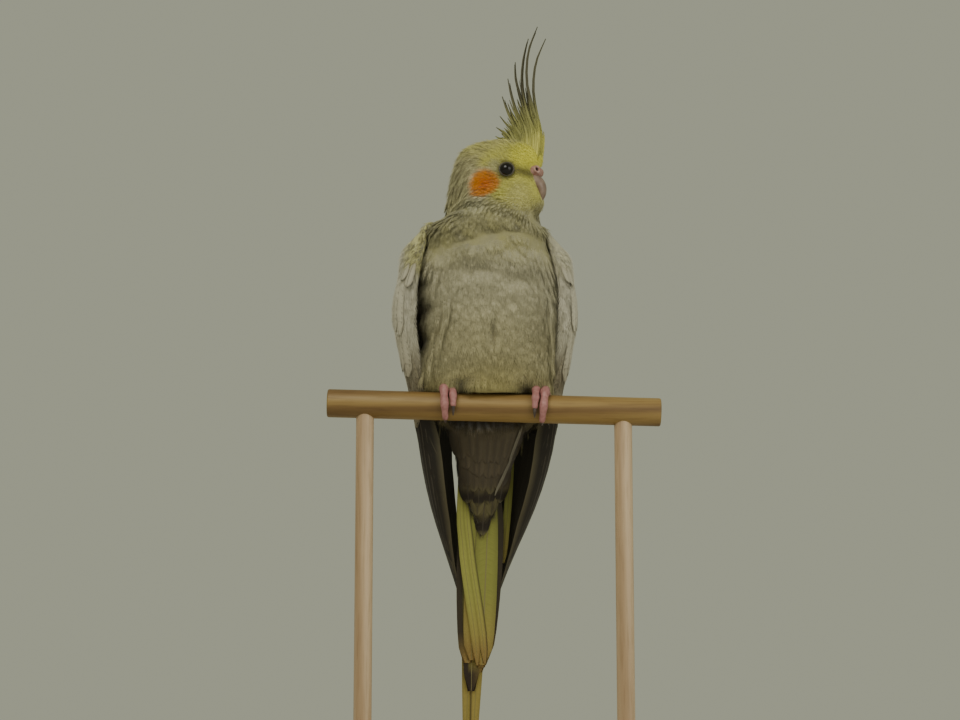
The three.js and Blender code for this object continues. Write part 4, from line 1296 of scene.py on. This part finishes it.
def tail_tint(kind, tip, side, x, along, draw):
    """Yellow under the tail, turning ochre, with dark outer webs, seams and tips."""
    base = TAIL_PALE if kind in ("seamed", "smooth_edge") else TAIL_YELLOW
    colour = laid(base, TAIL_OCHRE, smooth(0.55, 0.95, along) if tip < 1 else smooth(0.2, 0.5, along))
    if kind == "ochre":
        colour = laid(colour, TAIL_OCHRE, smooth(0.3, 0.6, along))
    if 0.5 < tip < 1:
        rust = 0.55 * smooth(0.84, 0.97, along) * (0.6 + 0.4 * (kind != "plain"))
        colour = laid(colour, TAIL_RUST, rust)
    if kind in ("dark_edge", "dark_tip"):
        colour = laid(colour, TAIL_DARK, 0.95 * smooth(0.0, 0.3, x * side) * smooth(0.99, 0.86, along))
    if kind == "dark_tip":
        colour = laid(colour, TAIL_DARK, smooth(0.87, 0.92, along + 0.02 * x * side))
    if kind == "seamed":
        colour = laid(colour, TAIL_DARK, 0.85 * smooth(0.72, 0.9, x))
    if tip == 1:
        colour = laid(colour, TAIL_DARK, 0.85 * smooth(0.8, 0.95, -x * side))
    return laid(colour, TAIL_DARK, 0.25 * smooth(0.9, 0.99, np.abs(x))) * draw.uniform(0.95, 1.04)


def tail_feather(number, draw):
    """The points, colours and map of one feather of the tail."""
    side, tip, half, asides, kind = TAIL_FEATHERS[number]
    x, along, layer = blade.T
    outline = stepped(POINTED if tip == 1 else TAIL_OUTLINE, along)[0]
    middle = stepped([[0, asides[0]], [0.3, asides[1]], [1, asides[2]]], along)[0]
    camber = 0.5 + 1.8 * smooth(0.66, 0.82, along) if tip == 1 else 0.15
    height = (6 - number) * TAIL_LAYER + layer * TAIL_THICKNESS - camber * (x * outline) ** 2
    root = -0.07 if kind == "short" else 0.03
    points = tail_point(side * middle + x * half * outline, root + (tip - root) * along, height)
    return points, tail_tint(kind, tip, side, x, along, draw), vane_map(x, along * tip, tail_length)


draw = np.random.default_rng(50)
feathers = [tail_feather(number, draw) for number in range(len(TAIL_FEATHERS))]
tail_material = vane_material("tail_feathers", 0.55, 0.15, (0.27, 0.24, 0.1))
feather_piece("tail_feathers", feathers, blade_faces, tail_material, "tail_plumage", "tail")

# Feathers under the tail: long pointed ones from the vent, in rows that cover the tail's root, and two narrow
# pale ones along the body's left edge.
# Their colours are their own grey-brown and olive, darkened by painted shade for the shade under the perch
# and the belly.
UNDERTAIL_GREY_AND_SHADE = light(94, 85, 68)
UNDERTAIL_DARK_AND_SHADE = light(62, 52, 40)
UNDERTAIL_OLIVE_AND_SHADE = light(122, 116, 80)
EDGE_PALE = light(134, 129, 112)
UNDERTAIL_THICKNESS = 0.07
# Rows as (feathers, half spread, height of their roots and of their tips, half width, dark tips).
UNDERTAIL_ROWS = [
    (1, 0, -24, -51.5, 4.2, 1.0),
    (2, 3.6, -22, -45, 3.4, 0.2),
    (4, 8.6, -20, -40.5, 3.4, 1.0),
    (6, 9.0, -14, -35, 3.0, 0.2),
    (7, 11, -8, -29, 3.0, 0.0),
    (8, 13, -3, -23, 3.0, 0.0),
]
UNDERTAIL_OUTLINE = [[0, 0.6], [0.4, 1], [0.75, 0.95], [0.92, 0.66], [1, 0.2]]
# The pale ones, as their lines aside and the heights of their roots and tips.
PALE_FEATHERS = [
    ([[0, 15], [0.5, 12.8], [1, 10.4]], (-5, -23)),
    ([[0, 11.9], [0.5, 8.6], [1, 5]], (-18, -36)),
]


def in_front_of_body(x, z, height):
    """Points at a height over the body's front, at places aside and heights over the perch."""
    middle, y, wide, front = stepped(SECTIONS, np.maximum(z, SECTIONS[0][0]))[:4]
    across = np.clip((x - middle) / (wide - 1), -1, 1)
    y = y - (front - 1.2) * np.sqrt(1 - across**2) + 0.3 * np.maximum(SECTIONS[0][0] - z, 0)
    return clear_of_perch(from_bird(np.stack([x, y - height, z], 1)), PLUME_OFF_PERCH)


def undertail_feather(number, share, draw):
    """A feather of a row, at a share from -1 to 1 of its spread."""
    _, spread, high, low, half, dark = UNDERTAIL_ROWS[number]
    x, along, layer = blade.T
    outline = stepped(UNDERTAIL_OUTLINE, np.minimum(along, 1))[0]
    aside = 0.4 + share * spread * (1.25 - 0.35 * along) + draw.normal(0, 0.3)
    shorter = 1.2 if number < 3 else 3.5
    z = high + (low + draw.normal(0, 0.6) + shorter * share**2 - high) * along
    height = -1.6 + 2.2 * np.maximum(along, 0) ** 0.8 + 0.14 * number - 0.5 * x**2
    points = in_front_of_body(aside + x * outline * half, z, height + layer * UNDERTAIL_THICKNESS)
    tint = laid(UNDERTAIL_OLIVE_AND_SHADE, UNDERTAIL_GREY_AND_SHADE, smooth(-38, -30, z))
    tint = laid(tint, UNDERTAIL_DARK_AND_SHADE, 0.45 * smooth(0.5, 0, np.abs(x)) * smooth(0.3, 0.6, along))
    tip = smooth(0.7, 0.8, along + 0.08 * x**2) * smooth(0.97, 0.91, along)
    tint = laid(tint, UNDERTAIL_DARK_AND_SHADE * 0.5, dark * tip) * draw.uniform(0.9, 1.06)
    return points, tint, vane_map(x, along, high - low)


def pale_feather(line, ends):
    x, along, layer = blade.T
    z = between(ends, along)
    aside = stepped(line, along)[0] + x * 0.85 * np.sin(math.pi * np.clip(along, 0.06, 0.96)) ** 0.5
    points = in_front_of_body(aside, z, 1.3 + layer * UNDERTAIL_THICKNESS)
    return points, np.broadcast_to(EDGE_PALE, (len(x), 3)), vane_map(x, along, 20)


draw = np.random.default_rng(55)
feathers = [
    undertail_feather(number, share, draw)
    for number, row in enumerate(UNDERTAIL_ROWS)
    for share in (np.linspace(-1, 1, row[0]) if row[0] > 1 else [0])
]
feathers += [pale_feather(*each) for each in PALE_FEATHERS]
undertail_material = vane_material("undertail_feathers", 0.75, 0.2, (0.075, 0.062, 0.044))
feather_piece("undertail_feathers", feathers, blade_faces, undertail_material, "breast_plumage")

# Crest: long narrow feathers in a row from the forehead to the crown, the front ones curling forward at the
# tip, with short soft ones round their roots.
CREST_HALF = 0.85
CREST_THICKNESS = 0.12
CREST_OUTLINE = [[0, 0.8], [0.2, 1], [0.5, 0.8], [0.8, 0.55], [1, 0.2]]
# Each long feather's line seen from the side, as [ahead of the skull's middle, up].
CREST_LINES = np.array([
    [(19.2, 5), (19.9, 17.6), (17.2, 28.5), (14.1, 42), (15, 57), (19.3, 68)],
    [(19.2, 5), (19.6, 17.6), (17.8, 27), (16.2, 39), (17.6, 51.5), (22.1, 61.8)],
    [(18, 6), (17.6, 18), (14, 27.5), (11.2, 41), (11.8, 53), (14.1, 63)],
    [(16, 8), (15.8, 18.5), (13.4, 27), (10.6, 36), (8.3, 44.5), (7.9, 53)],
    [(14.5, 8), (13.8, 17.5), (11.4, 23.5), (8.7, 29.5), (6.5, 37), (5.1, 44.5)],
    [(12.5, 8.5), (11.8, 16), (9.3, 20.5), (6.6, 25), (4.2, 30.5), (2.2, 36.5)],
    [(11, 9), (10.3, 14.8), (8.3, 18.4), (6, 21.2), (3.5, 24), (0.7, 27.7)],
    [(9, 9), (7.6, 14.5), (5.5, 17), (3.2, 19.2), (1, 21), (-1.2, 22.6)],
    [(5, 9), (3.4, 13), (1.6, 14.8), (-0.4, 16.2), (-2.6, 17.2), (-5, 18)],
])
CREST_FRONT = [0, 0, 1, 2, 2, 3, 3, 4, 4, 5, 5, 6, 6, 7, 7]  # the line that each long feather follows
CREST_OLIVE = light(158, 157, 90)
CREST_DARK = light(86, 82, 58)
TUFTS = 600
TUFT_HALF = 0.7


def direction(path, at, step=0.01):
    """The way a guide runs at places along it."""
    ahead = np.minimum(at + step, 1)
    way = guide(path, ahead) - guide(path, ahead - 2 * step)
    return way / np.linalg.norm(way, axis=1)[:, None]


def crest_feather(line, aside, share, half, twist, vane, draw):
    """A feather along a share of a crest line, at a distance aside from the middle of the head."""
    low = min(int(line), len(CREST_LINES) - 2)
    flat = between((CREST_LINES[low], CREST_LINES[low + 1]), line - low)
    loose = 1.6 if vane is soft_blade else 0.3
    flat = flat + np.linspace(0, 1, len(flat))[:, None] * draw.normal(0, loose, 2)
    spine = np.stack([np.linspace(aside, aside * 0.7, len(flat)), -flat[:, 0], flat[:, 1]], 1)
    x, along, layer = vane.T
    middle = guide(spine, along * share)
    tangent = direction(spine, along * share)
    sideways = np.array([1.0, 0, 0])
    wide = np.cross(tangent, sideways) * math.cos(twist) + sideways * math.sin(twist)
    outline = stepped(CREST_OUTLINE, along)[0]
    out = layer * CREST_THICKNESS + 0.2 * x**2 * outline
    points = middle + wide * (x * outline * half)[:, None] + np.cross(tangent, wide) * out[:, None]
    tint = laid(CREST_OLIVE, CREST_DARK, smooth(22, 38, middle[:, 2]))
    tint = laid(tint, CREST_DARK, 0.5 * smooth(0.5, 0.9, along * share))
    tint = laid(tint, MASK_YELLOW, smooth(15, 8, spine[0, 2] + 30 * along * share))
    length = np.linalg.norm(middle.max(0) - middle.min(0))
    return from_head(points), tint * draw.uniform(0.85, 1.08), vane_map(x, along, length)


draw = np.random.default_rng(60)
feathers = []
for i, line in enumerate(CREST_FRONT):
    aside = (i * 2) % 5 / 2 - 1
    twist = math.radians(25 if i % 2 else -25)
    feathers.append(crest_feather(line, aside, 1 - 0.04 * (i % 2), CREST_HALF, twist, blade, draw))
tufts = []
for _ in range(TUFTS):
    line, aside = draw.uniform(0, 7.9), draw.uniform(-3.6, 3.6)
    longest = 0.55 + 0.3 * smooth(0.8, 2.6, line)
    share = draw.uniform(0.2, 0.25 + (longest - 0.25) * draw.uniform(0, 1) ** 0.8)
    share *= 1.1 - 0.35 * abs(aside) / 3.6
    tufts.append(crest_feather(line, aside, share, TUFT_HALF, draw.uniform(-0.7, 0.7), soft_blade, draw))
crest_material = vane_material("crest_feathers", 0.65, 0.15, (0.14, 0.12, 0.06), 0.4)
feather_piece("crest_feathers", feathers, blade_faces, crest_material, "face_plumage", sharp=150)
feather_piece("crest_tufts", tufts, soft_faces, crest_material, "face_plumage", sharp=150)

# Eyes: dark wet balls in a ring of bare grey-olive skin, whose two lids close on the front and back corners.
EYE_RADIUS = 3.3
LID_RADIUS = 3.05
LID_LEAN = math.radians(-17)  # how far the ring faces forward
LID_AT = np.array([13.0, -8.0, -0.8])
LID_HALF = (0.44, 0.4)  # across and out of the ring


def eye_form(ball, side):
    return from_head(ball * EYE_RADIUS + EYE_AT * (side, 1, 1))


def lids(name, side):
    """A ring of soft skin, a little longer than it is high."""
    shape = bmesh.new()
    bmesh.ops.create_circle(shape, cap_ends=False, segments=12, radius=1)
    for vert in shape.verts:
        vert.co = (LID_RADIUS + vert.co.x * LID_HALF[0], 0, vert.co.y * LID_HALF[1])
    bmesh.ops.spin(
        shape,
        geom=shape.verts[:] + shape.edges[:],
        cent=(0, 0, 0),
        axis=(0, 0, 1),
        dvec=(0, 0, 0),
        angle=2 * math.pi,
        steps=40,
        use_merge=True,
    )
    for vert in shape.verts:
        x, y, z = vert.co
        lean = turned_about_z(LID_LEAN * side) @ (z * side, x * 1.04, y * 0.94)
        vert.co = from_head(lean + LID_AT * (side, 1, 1))
    settle(shape)
    return mesh_of(name, shape, 180)


eye_material, eye_shader = finish_material("eye_ball", 0.05, Specular_IOR_Level=0.4)
iris = noise(eye_material, object_place(eye_material), 1500.0)
iris_brown = ramp(eye_material, iris, [(0.3, (0.002, 0.0015, 0.001)), (0.7, (0.008, 0.005, 0.003))])
connect(eye_material, iris_brown, eye_shader, "Base Color")
lid_material, lid_shader = finish_material("eye_lids", 0.6)
folds = noise(lid_material, object_place(lid_material), 2600.0, 3.0)
lid_olive = ramp(lid_material, folds, [(0.35, (0.045, 0.04, 0.028)), (0.65, (0.11, 0.098, 0.07))])
connect(lid_material, lid_olive, lid_shader, "Base Color")
bumped(lid_material, lid_shader, folds, 0.6, 0.0002)
for side, name in ((1, "left"), (-1, "right")):
    ball = rounded("eyeball_" + name, (40, 28, eye_form, side))
    piece("eyeball_" + name, ball, eye_material, "eye", "eye_" + name)
    piece("eyelids_" + name, lids("eyelids_" + name, side), lid_material, "cere_skin")

# Bill and cere: a short hooked upper half over a small lower one, of grey-pink horn, with a soft band of bare
# skin above it that the two nostrils open in.
CERE_PINK = np.array([0.50, 0.31, 0.26])
CERE_RED = np.array([0.34, 0.16, 0.12])
NOSTRIL_RED_SHADE = np.array([0.05, 0.012, 0.01])
NOSTRIL_AT = np.array([3.3, -19.2, 0.6])
CERE_HALF = np.array([5.2, 4.4, 3.6])
CERE_AT = np.array([0, -16, 0.2])
# Each half's middle line in the head's frame, its half width and half depth at the root and the tip, how late
# they narrow, and how blunt its ends are.
UPPER_BILL = {
    "path": [[0, -10, -5.5], [0, -15.8, -4], [0, -19.2, -6], [0, -20.6, -9.8], [0, -20, -14]],
    "wide": (4.9, 0.5),
    "deep": (4.6, 0.5),
    "late": (2.2, 1.4),
    "blunt": 5,
}
LOWER_BILL = {
    "path": [[0, -9, -9.5], [0, -13.5, -12], [0, -17.6, -13], [0, -19.6, -11.6]],
    "wide": (4.4, 1.8),
    "deep": (3.2, 0.6),
    "late": (2, 1.5),
    "blunt": 4,
}


def bill_form(ball, half):
    """One half of the bill, along its middle line."""
    along, across, out = rolled(-ball, half["blunt"])
    depth = np.cross(direction(half["path"], along), (1, 0, 0))
    depth /= np.linalg.norm(depth, axis=1)[:, None]
    wide = across * between(half["wide"], along ** half["late"][0])
    deep = out * between(half["deep"], along ** half["late"][1])
    return from_head(guide(half["path"], along) + np.outer(wide, (1, 0, 0)) + depth * deep[:, None])


def bare_skin(name, dark, pale, scale, roughness, depth):
    """Bare skin or horn, mottled at a fine scale."""
    material, shader = finish_material(name, roughness)
    place = object_place(material)
    mottle = noise(material, place, scale, 4.0)
    connect(material, ramp(material, mottle, [(0.3, dark), (0.7, pale)]), shader, "Base Color")
    bumped(material, shader, noise(material, place, scale * 4, 3.0), 0.4, depth)
    return material


def off_nostril(points):
    """How far points of the cere lie from the nearer nostril."""
    return np.linalg.norm(np.abs(points) * (1, 0, 0) + points * (0, 1, 1) - NOSTRIL_AT, axis=1)


def cere_form(ball):
    """A rounded band with a soft rim and a pit at each nostril."""
    points = ball * CERE_HALF + CERE_AT
    out = points - (0, -15, 0)
    out /= np.linalg.norm(out, axis=1)[:, None]
    off = off_nostril(points)
    raised = 0.7 * np.exp(-(((off - 1.45) / 0.5) ** 2)) - 0.7 * smooth(0.95, 0.5, off)
    return from_head(points + out * raised[:, None])


horn = bare_skin("bill_horn", (0.185, 0.122, 0.09), (0.31, 0.222, 0.17), 350.0, 0.4, 0.0001)
upper_half = rounded("bill_upper_half", (36, 40, bill_form, UPPER_BILL))
piece("bill_upper_half", upper_half, horn, "bill_horn", "bill_upper")
lower_half = rounded("bill_lower_half", (32, 28, bill_form, LOWER_BILL))
piece("bill_lower_half", lower_half, horn, "bill_horn", "bill_lower")
cere_mesh = rounded("cere_band", (120, 90, cere_form))
points = to_head(to_bird(read_points(cere_mesh)))
tint = laid(CERE_PINK, CERE_RED, 0.5 + 0.5 * soft_noise(points, 3, 70))
# The nostrils' shallow pits are painted near black: painted shade for the depth of the openings, over their
# own dark red.
paint(cere_mesh, laid(tint, NOSTRIL_RED_SHADE, smooth(1.0, 0.7, off_nostril(points))))
piece("cere_band", cere_mesh, plumage_material("cere_skin", 0.55, 0), "cere_skin", "cere")

# Legs and feet: short scaly shanks with two toes in front of the perch and two behind it, each with a claw of
# dark horn.
FOOT_SPREAD = 21
FOOT_GAP = 0.3  # between the toes and the dowel
# Each toe, as how far from the bird's middle and how many degrees round the perch its root and its tip lie,
# and its half width at both.
TOES = {
    "outer_front": ((23.2, 21.6), (-14, 142), (2.2, 1.5)),
    "inner_front": ((19.0, 18.2), (-10, 98), (2.1, 1.45)),
    "outer_back": ((23.0, 24.6), (14, -118), (1.9, 1.4)),
    "inner_back": ((19.2, 17.6), (8, -80), (1.6, 1.25)),
}


def round_perch(x, degrees, height):
    """Points at places along the dowel, forward round it from its top, and at heights over it."""
    reach = PERCH_RADIUS + height
    angle = np.radians(degrees)
    return from_roost(np.stack([x, -reach * np.sin(angle), reach * np.cos(angle)], -1))


def toe_form(ball, side, line, turn, wide):
    along, across, out = rolled(-ball, 5)
    radius = between(wide, along) * (1 + 0.1 * np.cos(6 * math.pi * along))
    x = side * between(line, along) + across * radius
    return round_perch(x, between(turn, along), FOOT_GAP + radius * (1 + out))


def shank_form(ball, side):
    along, across, out = rolled(-ball, 4)
    back = between((9, 0.5), along) - 0.6 * out
    up = between((17, 8.9), along) + 2 * out
    return from_roost(np.stack([side * FOOT_SPREAD + 2.1 * across, back, up], -1))


def claw_form(ball, side, line, turn, wide):
    along, across, out = rolled(-ball, 5)
    way = math.copysign(1, turn[1])
    radius = between((1.15, 0.25), along)
    height = FOOT_GAP + between((wide[1] + 0.35, 0.9), along**0.7) + out * radius
    return round_perch(side * line[1] + across * radius * 0.85, turn[1] - way * 5 + way * 38 * along, height)


foot_skin = bare_skin("foot_skin", (0.33, 0.13, 0.125), (0.49, 0.235, 0.22), 600.0, 0.5, 0.0002)
claw_horn = bare_skin("claw_horn", (0.05, 0.038, 0.034), (0.13, 0.1, 0.088), 500.0, 0.35, 0.0001)
for side, name in ((1, "left"), (-1, "right")):
    toes = [(20, 40, toe_form, side, *toe) for toe in TOES.values()]
    foot = rounded("foot_and_shank_" + name, *toes, (20, 16, shank_form, side))
    piece("foot_and_shank_" + name, foot, foot_skin, "foot_skin", "foot_" + name)
    for toe in TOES:
        claw = "_".join(("claw", name, toe))
        shape = rounded("horn_" + claw, (16, 20, claw_form, side, *TOES[toe]))
        piece("horn_" + claw, shape, claw_horn, "claw_horn", claw)

# Camera, floor and light: the model stands on a plain pale floor in soft light from the front, and the camera
# looks up at it by ten degrees.
CAMERA = {"distance": 1.05, "elevation": math.radians(10), "aside": -0.0063, "above": 0.0215, "frame": 0.432}
SENSOR = 36
FLOOR_HALF = 6
FLOOR_GREY = (0.62, 0.61, 0.58, 1)
ROOM_LIGHT = (0.55, 0.565, 0.42, 1)
ROOM_STRENGTH = 0.62
LAMP_AIM = Vector((0, 0, 0.22))


def lamp(name, place, size, watts, colour):
    """A round soft lamp that shines at the bird."""
    light_data = bpy.data.lights.new(name, "AREA")
    light_data.shape = "DISK"
    light_data.size = size
    light_data.energy = watts
    light_data.color = colour
    made = bpy.data.objects.new(name, light_data)
    made.location = place
    made.rotation_euler = (LAMP_AIM - Vector(place)).to_track_quat("-Z", "Y").to_euler()
    bpy.context.scene.collection.objects.link(made)


floor_shape = bmesh.new()
bmesh.ops.create_grid(floor_shape, x_segments=1, y_segments=1, size=FLOOR_HALF)
floor_mesh = bpy.data.meshes.new("floor")
floor_shape.to_mesh(floor_mesh)
floor_shape.free()
floor = bpy.data.objects.new("floor", floor_mesh)
bpy.context.scene.collection.objects.link(floor)
floor_paint, floor_shader = finish_material("floor_paint", 0.7)
floor_shader.inputs["Base Color"].default_value = FLOOR_GREY
floor_mesh.materials.append(floor_paint)

line_of_sight = Vector((0, math.cos(CAMERA["elevation"]), math.sin(CAMERA["elevation"])))
rightwards = Vector((1, 0, 0))
upwards = rightwards.cross(line_of_sight)
target = Vector(PERCH_CENTRE * MM) + rightwards * CAMERA["aside"] + upwards * CAMERA["above"]
lens = bpy.data.cameras.new("camera")
lens.sensor_width = SENSOR
lens.lens = SENSOR * CAMERA["distance"] / CAMERA["frame"]
camera = bpy.data.objects.new("camera", lens)
axes = Matrix((rightwards, upwards, -line_of_sight)).transposed().to_4x4()
camera.matrix_world = Matrix.Translation(target - line_of_sight * CAMERA["distance"]) @ axes
bpy.context.scene.collection.objects.link(camera)
bpy.context.scene.camera = camera

world = bpy.data.worlds.new("studio")
world.use_nodes = True
world.node_tree.nodes["Background"].inputs["Color"].default_value = ROOM_LIGHT
world.node_tree.nodes["Background"].inputs["Strength"].default_value = ROOM_STRENGTH
bpy.context.scene.world = world
lamp("key", (-0.5, -1.2, 1.3), 1.0, 12, (1, 0.98, 0.9))
lamp("fill", (1.1, -1.1, 0.6), 1.2, 7, (1, 0.99, 0.93))
